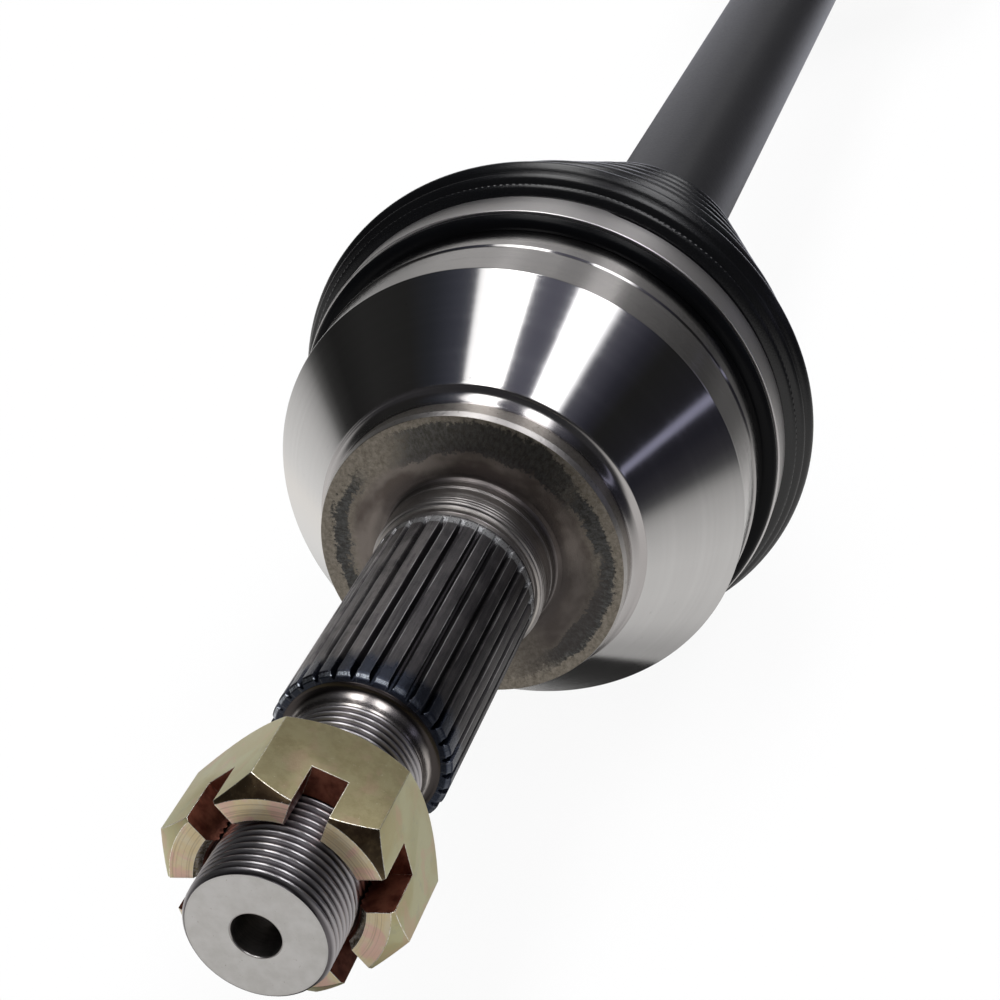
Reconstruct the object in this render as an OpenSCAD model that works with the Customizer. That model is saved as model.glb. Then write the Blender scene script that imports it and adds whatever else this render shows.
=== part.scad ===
// CV axle: outboard fixed ball joint with threaded, splined stub and castle nut,
// solid bar shaft, and inboard plunging ball joint with straight tracks.
// Frame: the axle lies along X. The origin is on the axle's axis in the plane of
// the shoulder that the wheel hub seats on. +X runs inboard, +Z is up.
// Angles about the axis are counted from +Z towards +Y. All lengths in millimetres.

/* [Stub] */
// Radius of the stub's thread over the crests
thread_r = 12; // [11.5:0.1:12.5]
// Distance from the hub seat to the stub's tip
stub_len = 111.6; // [108:0.1:116]
// Length of the threaded part
thread_len = 44; // [36:1:46]
// Number of teeth on the stub's spline
stub_teeth = 29; // [24:1:32]
// Radius over the tips of the stub's spline
stub_spline_r = 15.9; // [15.5:0.1:16.3]
// Radius of the hub journal next to the seat
journal_r = 16.8; // [16.5:0.1:17.2]
// Radius of the centre hole in the stub's tip
centre_r = 4; // [3:0.1:5]

/* [Castle nut] */
// Width across the flats of the nut
nut_af = 36; // [34:1:38]
// Height of the nut with its crown
nut_h = 20.2; // [19:0.1:22]
// Depth of the slots in the crown
slot_d = 9.2; // [7:0.1:10]
// Width of the slots in the crown
slot_w = 6; // [4:0.1:7]
// Distance from the stub's tip to the nut's outboard face
nut_back = 9.5; // [6:0.1:12]
// Turn of the nut about the stub, from a corner facing up
nut_turn = 27; // [0:1:60]

/* [Outboard joint] */
// Position of the joint's centre inboard of the hub seat
out_x = 38; // [37:0.5:39]
// Radius of the outboard balls
out_ball_r = 9; // [8.8:0.05:9]
// Radius of the circle the outboard ball centres lie on
out_pcr = 31.5; // [31.3:0.1:31.7]
// Largest radius of the outboard bell
bell_r = 48.3; // [48:0.1:49]
// Radius of the bell under the boot
bell_seat_r = 47.9; // [47.8:0.05:47.9]
// Radius of the sphere the outboard cage runs on
out_cage_r = 33.5; // [33.4:0.05:33.55]

/* [Shaft] */
// Radius of the bar shaft
bar_r = 15.5; // [15:0.1:15.5]
// Radius of the necks near the joints
neck_r = 13.4; // [13:0.1:13.6]
// Number of teeth on the shaft's end splines
bar_teeth = 26; // [22:1:30]

/* [Inboard joint] */
// Position of the inboard joint's centre from the hub seat
in_x = 592; // [585:1:620]
// Radius of the inboard balls
in_ball_r = 8; // [7.8:0.05:8]
// Radius of the circle the inboard ball centres lie on
in_pcr = 29; // [28.9:0.1:29.1]
// Outer radius of the inboard housing
cup_r = 42; // [41.5:0.1:42]
// Radius of the seal journal on the inboard stub
seal_r = 17.5; // [17:0.1:18]

/* [Boots] */
// Wall thickness of the rubber boots
boot_t = 2.2; // [1.8:0.1:2.6]
// Outer radius of the outboard boot's large cuff
out_cuff_r = 50.6; // [50.4:0.1:50.6]
// Thickness of the clamp bands
band_t = 1.2; // [0.8:0.1:1.4]

/* [Hidden] */
$fn = 72;

clip_colour = [0.3, 0.3, 0.32];
cage_colour = [0.45, 0.44, 0.43];
race_colour = [0.5, 0.5, 0.52];
band_colour = [0.6, 0.59, 0.58];
rubber_colour = [0.09, 0.09, 0.1];

// Stub and nut
tip_x = -stub_len;
stub_spline_x0 = -64.9;
stub_spline_root_r = 14.5;
centre_depth = 16;
nut_x = tip_x + nut_back;
nut_end_x = nut_x + nut_h;

// Both joints
ball_angles = [30 : 60 : 330];
run = 0.1;          // running gap between the spherical surfaces
groove_gap = 0.2;   // how much larger in radius each track is than its ball
cage_wall = 5;
cage_half = 15;     // half the cage's length along X
window_play = 0.4;  // how much longer a cage window is than its ball

// Outboard joint
out_race_r = out_cage_r - cage_wall - run;
out_race_half = 13;
out_track_r = out_ball_r + groove_gap;
mouth_out = out_x + 20;

// Inboard joint
in_cage_r = 31.6;
in_race_r = in_cage_r - cage_wall - run;
in_race_half = 12;
in_track_r = in_ball_r + groove_gap;

// The housing, its rings, boot and clamps have their stations given for a joint
// centre at X = 512, and are moved inboard together by in_shift.
in_shift = in_x - 512;
mouth_in = 478;
cup_bore = in_cage_r + run;
ring_x0 = mouth_in + 4;   // retaining ring
ring_x1 = mouth_in + 6;
stub_clip_x0 = 641;
stub_clip_x1 = 643;

// Shaft splines in the inner races, and the circlips beside the races
bar_root_r = 11.9;
bar_tip_r = 12.7;
bar_bevel = 0.9;
fit_gap = 0.05;      // radial gap of splines, cuffs and clamps, side gap of circlips
clip_near = 0.1;     // circlip's sides, counted from the race's face
clip_far = 1.9;
clip_in_r = 11.4;
clip_out_r = 14.2;
clip_gap_angle = 40;

// Cuffs, and clamp ears as [angle from the top, width, height]
small_cuff_r = 18.2;
in_cuff_r = 44.6;
large_ear = [195, 9, 3.4];
small_ear = [120, 8, 3];

// Turns children drawn along Z to lie along X, starting at x.
module along_x(x) translate([x, 0, 0]) rotate([0, 90, 0]) children();

// Round solid about the X axis from a list of [x, radius] points.
module spin(points)
  rotate([0, 90, 0]) rotate_extrude() polygon([for (point = points) [point[1], point[0]]]);

// Plain round bar from x0 to x1.
module rod(x0, x1, radius) along_x(x0) cylinder(h = x1 - x0, r = radius);

// Zone of a sphere about centre_x, reaching half to each side of its centre.
module zone(centre_x, radius, half)
  along_x(centre_x) rotate_extrude() intersection() {
    circle(r = radius);
    translate([0, -half]) square([radius + 5, 2 * half]);
  }

// Outline of a straight-sided spline. Land and foot are where the tooth's tip
// and root corners lie, in pitches from its middle; widen makes teeth wider.
function spline_outline(teeth, root_r, tip_r, widen = 0) =
  let (pitch = 360 / teeth, land = 0.29 + widen, foot = 0.39 + widen)
  [for (i = [0 : teeth - 1],
        corner = [[-land, tip_r], [land, tip_r], [foot, root_r], [1 - foot, root_r]])
    let (angle = (i + corner[0]) * pitch) corner[1] * [cos(angle), sin(angle)]];

// Straight spline from x0 to x1, with its teeth bevelled by bevel0 at x0 and bevel1 at x1.
module spline_bar(x0, x1, teeth, root_r, tip_r, bevel0, bevel1) {
  past = 0.5;   // how far the bevelling solid reaches past the spline
  start_x = x0 - past;
  end_x = x1 + past;
  over_r = tip_r + past;
  intersection() {
    along_x(x0) linear_extrude(x1 - x0) polygon(spline_outline(teeth, root_r, tip_r));
    spin(concat([[start_x, 0]],
      bevel0 > 0 ? [[start_x, tip_r - bevel0 - past], [x0 + bevel0 + past, over_r]]
        : [[start_x, over_r]],
      bevel1 > 0 ? [[x1 - bevel1 - past, over_r], [end_x, tip_r - bevel1 - past]]
        : [[end_x, over_r]],
      [[end_x, 0]]));
  }
}

// Cutter for the splined bore of an inner race.
module race_bore(x0, x1)
  along_x(x0) linear_extrude(x1 - x0)
    polygon(spline_outline(bar_teeth, bar_root_r + fit_gap, bar_tip_r + fit_gap, widen = 0.02));

// Arc track about the joint's centre, in the plane of X and the radial line at phi.
// The arc runs from angle start to end, counted from the radial line towards +X.
module arc_track(centre_x, phi, start, end, pitch_r, track_r)
  translate([centre_x, 0, 0]) rotate([90 - phi, 0, 0]) rotate([0, 0, 90 - end])
    rotate_extrude(angle = end - start) translate([pitch_r, 0]) circle(r = track_r);

// Straight track along X at angle phi from the top.
module straight_track(x0, x1, phi, pitch_r, track_r)
  translate([0, pitch_r * sin(phi), pitch_r * cos(phi)]) rod(x0, x1, track_r);

// Balls at the given angles from the top about a joint's centre.
module balls(centre_x, angles, pitch_r, ball_r)
  for (phi = angles)
    translate([centre_x, pitch_r * sin(phi), pitch_r * cos(phi)]) sphere(r = ball_r);

module out_balls(angles) balls(out_x, angles, out_pcr, out_ball_r);
module in_balls(angles) balls(in_x, angles, in_pcr, in_ball_r);

// Ball cage: a band of a spherical shell with one window per ball.
module ball_cage(centre_x, outer_r, window_len, window_w) {
  inner_r = outer_r - cage_wall;
  difference() {
    along_x(centre_x) rotate_extrude() intersection() {
      difference() {
        circle(r = outer_r);
        circle(r = inner_r);
      }
      translate([0, -cage_half]) square([outer_r + 5, 2 * cage_half]);
    }
    for (phi = ball_angles)
      translate([centre_x, 0, 0]) rotate([-phi, 0, 0])
        translate([-window_len / 2, -window_w / 2, inner_r - 8])
          cube([window_len, window_w, 20]);
  }
}

// Split ring of rectangular section with a gap at the bottom.
module split_ring(x0, x1, inner_r, outer_r, gap_angle)
  along_x(x0) rotate([0, 0, gap_angle / 2])
    rotate_extrude(angle = 360 - gap_angle)
      translate([inner_r, 0]) square([outer_r - inner_r, x1 - x0]);

module race_circlip(x0, x1) split_ring(x0, x1, clip_in_r, clip_out_r, clip_gap_angle);

// Ring-shaped cutter from x0 to x1; its core reaches past it at both ends.
module ring_cutter(x0, x1, inner_r, outer_r, past = 0.9) difference() {
  rod(x0, x1, outer_r);
  rod(x0 - past, x1 + past, inner_r);
}

// Cutter for a race circlip's groove in the shaft.
module race_clip_groove(x0, x1)
  ring_cutter(x0 - fit_gap, x1 + fit_gap, clip_in_r - fit_gap, 14, past = 0.05);

// Ear clamp: a flat band with a raised hollow ear, over a cuff of the given radius.
module ear_clamp(x0, x1, cuff_r, ear) {
  inner_r = cuff_r + fit_gap;
  phi = ear[0];
  ear_w = ear[1];
  ear_h = ear[2];
  side = 0.8;   // how far the ear is set in from each edge of the band
  difference() {
    union() {
      rod(x0, x1, inner_r + band_t);
      rotate([-phi, 0, 0])
        translate([x0 + side, -ear_w / 2, inner_r - 2])
          cube([x1 - x0 - 2 * side, ear_w, ear_h + 2 + band_t]);
    }
    rod(x0 - 1, x1 + 1, inner_r);
    // the hollow under the ear
    rotate([-phi, 0, 0])
      translate([x0 - 1, -ear_w / 2 + band_t, inner_r - 3])
        cube([x1 - x0 + 2, ear_w - 2 * band_t, ear_h + 3]);
  }
}

// Boot section from its outer outline of [x, radius] points. The inner outline
// follows one wall thickness inside, but has set radii at the two cuffs.
function bellows(outer, cuff0_end, cuff0_r, cuff1_start, cuff1_r) = concat(outer,
  [for (i = [len(outer) - 1 : -1 : 0]) let (x = outer[i][0])
    [x, x <= cuff0_end ? cuff0_r : x >= cuff1_start ? cuff1_r : outer[i][1] - boot_t]]);

module outboard_bell() {
  thread_end_x = tip_x + thread_len + 0.7;
  // [x, radius]: threaded end as a plain cylinder, flaring to the spline's root
  thread_outline = [[tip_x, 0], [tip_x, thread_r - 0.7], [tip_x + 0.7, thread_r],
    [thread_end_x, thread_r], [-66.0, 12.4], [-65.3, 13.2],
    [stub_spline_x0, 14.3], [stub_spline_x0, 0]];
  // [x, radius]: journal, hub seat, rolled lip, cone and drum
  bell_outline = [[-12, 0], [-12, stub_spline_root_r], [-9.7, 15.2],
    [-9.6, journal_r - 0.8], [-8.8, journal_r], [0, journal_r],
    [0, 30], [0.2, 30.2], [4.7, 30.2], [5.4, 30], [6.3, 30.25], [7.1, 30.9],
    [7.7, 31.8], [7.9, 32.7], [8.4, 32.7],
    [26.9, bell_r - 0.3], [38, bell_r - 0.3], [38.4, bell_r], [45.7, bell_r],
    [46.1, bell_seat_r], [mouth_out - 0.8, bell_seat_r],
    [mouth_out, bell_seat_r - 0.8], [mouth_out, 0]];
  color("silver") difference() {
    union() {
      spin(thread_outline);
      spline_bar(stub_spline_x0, -11.9, stub_teeth, stub_spline_root_r, stub_spline_r,
        1.2, 1.2);
      spin(bell_outline);
    }
    // centre hole with a conical bottom
    rod(tip_x - 1, tip_x + centre_depth, centre_r);
    spin([[tip_x + centre_depth - 0.1, 0], [tip_x + centre_depth - 0.1, centre_r],
      [tip_x + 18.3, 0]]);
    // spherical seat for the cage, and the open mouth, as [radius, x from the centre]
    along_x(out_x) rotate_extrude() {
      intersection() {
        circle(r = out_cage_r + run);
        translate([0, -29]) square([40, 48]);
      }
      polygon([[0, 9], [31.4, 9], [38, 20.01], [0, 20.01]]);
    }
    for (phi = ball_angles)
      arc_track(out_x, phi, -39, 48, out_pcr, out_track_r);
  }
}

module castle_nut() color([0.72, 0.68, 0.42]) difference() {
  intersection() {
    translate([nut_x, 0, 0]) rotate([nut_turn, 0, 0]) rotate([0, 90, 0])
      cylinder(h = nut_h, r = nut_af / 2 / cos(30), $fn = 6);
    // chamfers the corners at both ends; its section starts at the middle of a flat
    rotate([nut_turn + 30, 0, 0])
      spin([[nut_x, 0], [nut_x, 17.7], [nut_x + 3, 21.4],
        [nut_end_x - 3.6, 21.4], [nut_end_x, 17.6], [nut_end_x, 0]]);
  }
  rod(nut_x - 1, nut_end_x + 1, thread_r + 0.05);
  // countersinks at both faces
  spin([[nut_x - 0.1, 0], [nut_x - 0.1, thread_r + 1.9],
    [nut_x + 1.8, thread_r], [nut_x + 1.8, 0]]);
  spin([[nut_end_x + 0.1, 0], [nut_end_x + 0.1, thread_r + 1.3],
    [nut_end_x - 1.2, thread_r], [nut_end_x - 1.2, 0]]);
  // each cutter makes two opposite slots
  for (turn = [0 : 60 : 120])
    rotate([nut_turn + turn, 0, 0])
      translate([nut_x - 1, -slot_w / 2, -30]) cube([slot_d + 1, slot_w, 60]);
}

module outboard_cage() color(cage_colour)
  ball_cage(out_x, out_cage_r, window_len = 2 * out_ball_r + window_play, window_w = 20.4);

module outboard_inner_race() color(race_colour) difference() {
  zone(out_x, out_race_r, out_race_half);
  for (phi = ball_angles)
    arc_track(out_x, phi, -44, 44, out_pcr, out_track_r);
  race_bore(out_x - out_race_half - 1, out_x + out_race_half + 1);
}

// The outboard circlip lies on the outboard side of its race.
out_clip_x0 = out_x - out_race_half - clip_far;
out_clip_x1 = out_x - out_race_half - clip_near;
module outboard_race_circlip() color(clip_colour) race_circlip(out_clip_x0, out_clip_x1);

module outboard_side_balls() color("gainsboro") out_balls([90, 270]);
module outboard_upper_left_ball() color("gainsboro") out_balls([30]);
module outboard_upper_right_ball() color("gainsboro") out_balls([330]);
module outboard_lower_left_ball() color("gainsboro") out_balls([150]);
module outboard_lower_right_ball() color("gainsboro") out_balls([210]);

module outboard_boot() {
  // [x, radius], from the large cuff to the small one
  outline = [[46.4, 49.6], [47.2, 50.7], [48.3, 50.9], [48.5, out_cuff_r],
    [56.9, out_cuff_r], [57.3, 53], [59, 54.6], [62, 55.9], [66, 55.2], [73.5, 47.6],
    [76, 47.6], [80.5, 49.7], [83, 48.9], [88.3, 41.9], [90.6, 42], [95, 44.5],
    [97.5, 43.8], [102.6, 36.6], [104.8, 36.7], [109.2, 39.4], [111.6, 38.6],
    [116.4, 31.6], [118.5, 31.7], [123, 34.4], [125.4, 33.6], [130, 26.6], [132, 26.7],
    [136.4, 29.6], [138.6, 28.6], [143.4, 20.6], [147, 18.6], [150.2, 18.6],
    [150.6, small_cuff_r], [159.6, small_cuff_r], [160, 18.6], [162, 18.4]];
  color(rubber_colour)
    spin(bellows(outline, mouth_out + 0.5, bell_seat_r + 0.07, 146, bar_r + fit_gap));
}

module outboard_large_clamp() color(band_colour)
  ear_clamp(48.6, 56.6, out_cuff_r, large_ear);

module outboard_small_clamp() color(band_colour)
  ear_clamp(151, 159.2, small_cuff_r, small_ear);

// The inboard circlip lies on the inboard side of its race.
in_clip_x0 = in_x + in_race_half + clip_near;
in_clip_x1 = in_x + in_race_half + clip_far;

module axle_shaft() {
  bar_x0 = 141;
  bar_x1 = in_x - 103;
  taper_len = 8;
  neck_gap = 0.06;   // from a race's face to the neck
  neck_x0 = out_x + out_race_half + neck_gap;
  neck_x1 = in_x - in_race_half - neck_gap;
  color([0.12, 0.12, 0.13]) difference() {
    union() {
      spline_bar(out_x - 17.5, out_x + 18, bar_teeth, bar_root_r, bar_tip_r, bar_bevel, 0);
      spin([[neck_x0, 0], [neck_x0, neck_r], [bar_x0 - taper_len, neck_r], [bar_x0, bar_r],
        [bar_x1, bar_r], [bar_x1 + taper_len, neck_r], [neck_x1, neck_r], [neck_x1, 0]]);
      spline_bar(in_x - 17, in_x + 16.5, bar_teeth, bar_root_r, bar_tip_r, 0, bar_bevel);
    }
    race_clip_groove(out_clip_x0, out_clip_x1);
    race_clip_groove(in_clip_x0, in_clip_x1);
  }
}

module inboard_housing() {
  // [x, radius]: cup, cone, seal journal and the spline's core
  outline = [[mouth_in, 0], [mouth_in, cup_r - 0.8], [mouth_in + 0.8, cup_r],
    [mouth_in + 17.6, cup_r], [mouth_in + 18, cup_r + 1], [549, cup_r + 1],
    [551, cup_r], [560, 34], [566, 24], [567.5, 20], [568, seal_r],
    [600, seal_r], [601, seal_r - 1], [601, 0]];
  color([0.55, 0.55, 0.56]) translate([in_shift, 0, 0]) difference() {
    union() {
      spin(outline);
      spline_bar(598, 650, 27, 13, 14.3, 0, 1.2);
    }
    // bore for the cage, its flared mouth and its conical bottom
    rod(mouth_in + 1, 550, cup_bore);
    spin([[mouth_in - 0.01, 0], [mouth_in - 0.01, 35.2],
      [mouth_in + 3.4, cup_bore], [mouth_in + 3.4, 0]]);
    spin([[549.9, 0], [549.9, cup_bore], [553, 22], [554, 0]]);
    for (phi = ball_angles)
      straight_track(mouth_in - 1, 545, phi, in_pcr, in_track_r);
    // grooves for the retaining ring and the stub's circlip
    ring_cutter(ring_x0 - 0.1, ring_x1 + 0.1, cup_bore - 1, cup_bore + 1.2);
    ring_cutter(stub_clip_x0 - 0.1, stub_clip_x1 + 0.1, 12.2, 16);
  }
}

module inboard_retaining_ring() color(clip_colour) translate([in_shift, 0, 0])
  split_ring(ring_x0, ring_x1, cup_bore - 1.2, cup_bore + 1.1, 30);

module inboard_cage() color(cage_colour)
  ball_cage(in_x, in_cage_r, window_len = 2 * in_ball_r + window_play, window_w = 18.4);

module inboard_inner_race() color(race_colour) difference() {
  zone(in_x, in_race_r, in_race_half);
  for (phi = ball_angles)
    straight_track(in_x - 14, in_x + 14, phi, in_pcr, in_track_r);
  race_bore(in_x - in_race_half - 1, in_x + in_race_half + 1);
}

module inboard_race_circlip() color(clip_colour) race_circlip(in_clip_x0, in_clip_x1);

module inboard_side_balls() color("gainsboro") in_balls([90, 270]);
module inboard_upper_balls() color("gainsboro") in_balls([30, 330]);
module inboard_lower_balls() color("gainsboro") in_balls([150, 210]);

module inboard_boot() {
  // [x, radius], from the small cuff to the large one
  outline = [[392, 18.4], [394, 18.6], [394.4, small_cuff_r], [403.4, small_cuff_r],
    [403.8, 18.6], [407, 18.8], [411, 21.5], [414.8, 29.2], [417.2, 29.4], [420.6, 23.6],
    [422.4, 23.6], [427, 34], [429.4, 34.2], [433.4, 28.4], [435.4, 28.4], [440, 38.8],
    [442.6, 39], [446.8, 33], [449, 33], [453.6, 43.4], [456.2, 43.6], [460.6, 37.6],
    [462.8, 37.6], [467, 47.2], [470.5, 48.4], [474, 47.6], [478, 46], [481.4, 45.4],
    [481.8, in_cuff_r], [490.8, in_cuff_r], [491.2, 45.2], [493.2, 45.2], [494, 44.4]];
  color(rubber_colour) translate([in_shift, 0, 0])
    spin(bellows(outline, 405, bar_r + fit_gap, mouth_in - 1, cup_r + fit_gap));
}

module inboard_large_clamp() color(band_colour) translate([in_shift, 0, 0])
  ear_clamp(482.2, 490.4, in_cuff_r, large_ear);

module inboard_small_clamp() color(band_colour) translate([in_shift, 0, 0])
  ear_clamp(395, 403, small_cuff_r, small_ear);

module stub_circlip() color(clip_colour) translate([in_shift, 0, 0])
  split_ring(stub_clip_x0, stub_clip_x1, 12.3, 14.9, 36);

outboard_bell();
castle_nut();
outboard_cage();
outboard_inner_race();
outboard_race_circlip();
outboard_side_balls();
outboard_upper_left_ball();
outboard_upper_right_ball();
outboard_lower_left_ball();
outboard_lower_right_ball();
outboard_boot();
outboard_large_clamp();
outboard_small_clamp();
axle_shaft();
inboard_housing();
inboard_retaining_ring();
inboard_cage();
inboard_inner_race();
inboard_race_circlip();
inboard_side_balls();
inboard_upper_balls();
inboard_lower_balls();
inboard_boot();
inboard_large_clamp();
inboard_small_clamp();
stub_circlip();
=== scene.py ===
"""A drive axle with a ball joint at each end, lying along X.

The outboard end, with its threaded stub and castle nut, points to -X; the inboard end,
with its splined stub, points to +X. The outboard bell's seat face is at x = 0.
Lengths are in millimetres until a mesh is made. Outlines are rows of (x, radius), and
phi is the angle about X, from +Z towards -Y.
"""
import math
from functools import cached_property
from types import SimpleNamespace

import bmesh
import bpy
import numpy as np
from mathutils import Matrix, Vector


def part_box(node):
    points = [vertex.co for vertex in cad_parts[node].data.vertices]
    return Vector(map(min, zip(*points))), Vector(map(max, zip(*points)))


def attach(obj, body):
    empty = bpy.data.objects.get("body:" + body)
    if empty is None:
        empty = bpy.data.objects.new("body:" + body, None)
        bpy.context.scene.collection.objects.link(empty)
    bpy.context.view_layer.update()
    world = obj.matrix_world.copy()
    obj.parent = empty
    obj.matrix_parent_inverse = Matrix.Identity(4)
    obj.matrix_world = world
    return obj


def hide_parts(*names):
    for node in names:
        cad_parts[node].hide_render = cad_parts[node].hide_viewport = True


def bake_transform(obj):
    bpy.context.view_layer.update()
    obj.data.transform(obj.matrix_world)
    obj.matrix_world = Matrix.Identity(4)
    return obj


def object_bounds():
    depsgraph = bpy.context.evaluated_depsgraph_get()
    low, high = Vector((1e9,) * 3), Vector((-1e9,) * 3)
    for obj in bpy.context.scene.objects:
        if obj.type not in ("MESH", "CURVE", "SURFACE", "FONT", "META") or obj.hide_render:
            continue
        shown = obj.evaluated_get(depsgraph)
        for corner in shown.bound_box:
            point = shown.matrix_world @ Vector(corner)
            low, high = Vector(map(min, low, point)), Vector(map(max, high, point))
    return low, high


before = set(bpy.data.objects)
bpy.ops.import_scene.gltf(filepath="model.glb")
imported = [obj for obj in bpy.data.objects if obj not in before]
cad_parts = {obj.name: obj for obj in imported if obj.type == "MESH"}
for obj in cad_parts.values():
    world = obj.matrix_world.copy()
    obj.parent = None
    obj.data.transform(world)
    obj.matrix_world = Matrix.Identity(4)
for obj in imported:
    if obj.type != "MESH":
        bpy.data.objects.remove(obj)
cad_lo, cad_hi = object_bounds()
MM = 0.001
TAU = 2 * math.pi
# The inboard end is drawn with the housing mouth here, then shifted to where the CAD has it.
DRAWN_MOUTH_X = 478.0
INBOARD_SHIFT = round(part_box("inboard_housing")[0].x / MM - DRAWN_MOUTH_X, 3)

STUB_TEETH = 29
# Radii the clamps sit on, and the gap under a clamp
OUTBOARD_CUFF, INBOARD_CUFF, SHAFT_CUFF = 50.6, 44.6, 18.2
CLAMP_GAP = 0.06


# -------------------------------------------------------------------- outlines
def wrap(angle):
    """The same angle between -pi and pi."""
    return (angle + math.pi) % TAU - math.pi


def round_corners(points, segments=5):
    """Rounds each (x, radius, corner radius) point of an outline; a pair stays sharp."""
    out = []
    for i, point in enumerate(points):
        size = point[2] if len(point) > 2 else 0
        if size <= 0 or i in (0, len(points) - 1):
            out.append((point[0], point[1]))
            continue
        before, corner, after = (np.array(p[:2], float) for p in points[i - 1:i + 2])
        length_in, length_out = np.linalg.norm(before - corner), np.linalg.norm(after - corner)
        back, ahead = (before - corner) / length_in, (after - corner) / length_out
        angle = math.acos(max(-1, min(1, float(back @ ahead))))
        if angle > math.pi - 0.02:
            out.append((point[0], point[1]))
            continue
        reach = min(size / math.tan(angle / 2), 0.49 * length_in, 0.49 * length_out)
        radius = reach * math.tan(angle / 2)
        middle = (back + ahead) / np.linalg.norm(back + ahead)
        centre = corner + middle * radius / math.sin(angle / 2)
        first, last = corner + back * reach - centre, corner + ahead * reach - centre
        start = math.atan2(first[1], first[0])
        sweep = wrap(math.atan2(last[1], last[0]) - start)
        for k in range(segments + 1):
            turn = start + sweep * k / segments
            out.append((centre[0] + radius * math.cos(turn),
                        centre[1] + radius * math.sin(turn)))
    return out


def add_rows(outline, step, hold=0.12):
    """Adds rows to long straight runs, with a holding row by each corner."""
    out = []
    for start, end in zip(outline, outline[1:]):
        start, end = np.array(start, float), np.array(end, float)
        out.append(tuple(start))
        length = np.linalg.norm(end - start)
        if length > 6 * hold:
            count = max(1, int(math.ceil((length - 2 * hold) / step)))
            for t in np.linspace(hold, length - hold, count + 1):
                out.append(tuple(start + (end - start) * t / length))
    out.append(tuple(outline[-1]))
    return out


def smooth_curve(points, steps=4):
    """Centripetal Catmull-Rom curve through the points."""
    def knot(t_before, p, q):
        return t_before + max(np.linalg.norm(q - p), 1e-6) ** 0.5

    def between(p, q, t_p, t_q, t):
        return (t_q - t) / (t_q - t_p) * p + (t - t_p) / (t_q - t_p) * q

    points = [np.array(p, float) for p in points]
    out, count = [], len(points)
    for i in range(count - 1):
        p0, p1, p2 = points[max(i - 1, 0)], points[i], points[i + 1]
        p3 = points[min(i + 2, count - 1)]
        t0 = 0.0
        t1 = knot(t0, p0, p1)
        t2 = knot(t1, p1, p2)
        t3 = knot(t2, p2, p3)
        for k in range(steps):
            t = t1 + (t2 - t1) * k / steps
            a1 = p1 if i == 0 else between(p0, p1, t0, t1, t)
            a2 = between(p1, p2, t1, t2, t)
            a3 = p2 if i == count - 2 else between(p2, p3, t2, t3, t)
            b1 = a2 if i == 0 else between(a1, a2, t0, t2, t)
            b2 = a2 if i == count - 2 else between(a2, a3, t1, t3, t)
            out.append(tuple(between(b1, b2, t1, t2, t)))
    out.append(tuple(points[-1]))
    return out


def smooth_step(v, start, end):
    t = np.clip((v - start) / (end - start), 0, 1)
    return t * t * (3 - 2 * t)


def window(v, start, end, soft):
    """1 between start and end, with soft edges."""
    return (smooth_step(v, start - soft, start + soft)
            * (1 - smooth_step(v, end - soft, end + soft)))


# ---------------------------------------------------------------------- meshes
def shade(mesh, points, sharp):
    """Stores the unshifted points for the materials, and sets smooth faces and sharp edges."""
    rest = mesh.attributes.get("rest") or mesh.attributes.new("rest", "FLOAT_VECTOR", "POINT")
    rest.data.foreach_set("vector", points.astype(np.float32).ravel())
    mesh.polygons.foreach_set("use_smooth", np.ones(len(mesh.polygons), bool))
    mesh.set_sharp_from_angle(angle=math.radians(sharp))


def closed_mesh(name, points, face_groups, sharp=32, shift=0.0):
    """Object from points and arrays of faces, each of one size, turned outwards."""
    volume = 0.0
    for group in face_groups:
        for k in range(1, group.shape[1] - 1):
            cross = np.cross(points[group[:, k]], points[group[:, k + 1]])
            volume += np.einsum("ij,ij->i", points[group[:, 0]], cross).sum()
    faces = []
    for group in face_groups:
        faces.extend((group[:, ::-1] if volume < 0 else group).tolist())
    mesh = bpy.data.meshes.new(name)
    mesh.from_pydata(((points + np.array([shift, 0, 0])) * MM).tolist(), [], faces)
    mesh.update()
    shade(mesh, points, sharp)
    ob = bpy.data.objects.new(name, mesh)
    bpy.context.scene.collection.objects.link(ob)
    return ob


def even_angles(count):
    return np.linspace(0, TAU, count, endpoint=False)


def lathe(name, outline, angles, shape=None, sharp=32, shift=0.0):
    """Solid of revolution about X. shape(x, radius, phi) may move the points first."""
    outline = np.array(outline, float)
    rows, count = len(outline), len(angles)
    x = np.repeat(outline[:, :1], count, 1)
    radius = np.repeat(outline[:, 1:], count, 1)
    phi = np.repeat(angles[None, :], rows, 0)
    if shape:
        x, radius = shape(x, radius, phi)
    y, z = -radius * np.sin(phi), radius * np.cos(phi)
    poles = outline[:, 1] < 1e-9
    rings, starts, total = [], [], 0
    for i, pole in enumerate(poles):
        ring = [[outline[i, 0], 0, 0]] if pole else np.stack([x[i], y[i], z[i]], 1)
        rings.append(ring)
        starts.append(total)
        total += len(ring)
    here = np.arange(count)
    after = (here + 1) % count
    faces = []
    for i in range(rows - 1 if poles.any() else rows):
        k = (i + 1) % rows
        a, b = starts[i], starts[k]
        if poles[i]:
            columns = (np.full(count, a), b + here, b + after)
        elif poles[k]:
            columns = (a + here, np.full(count, b), a + after)
        else:
            columns = (a + here, b + here, b + after, a + after)
        faces.append(np.stack(columns, 1))
    return closed_mesh(name, np.concatenate(rings), faces, sharp, shift)


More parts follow.
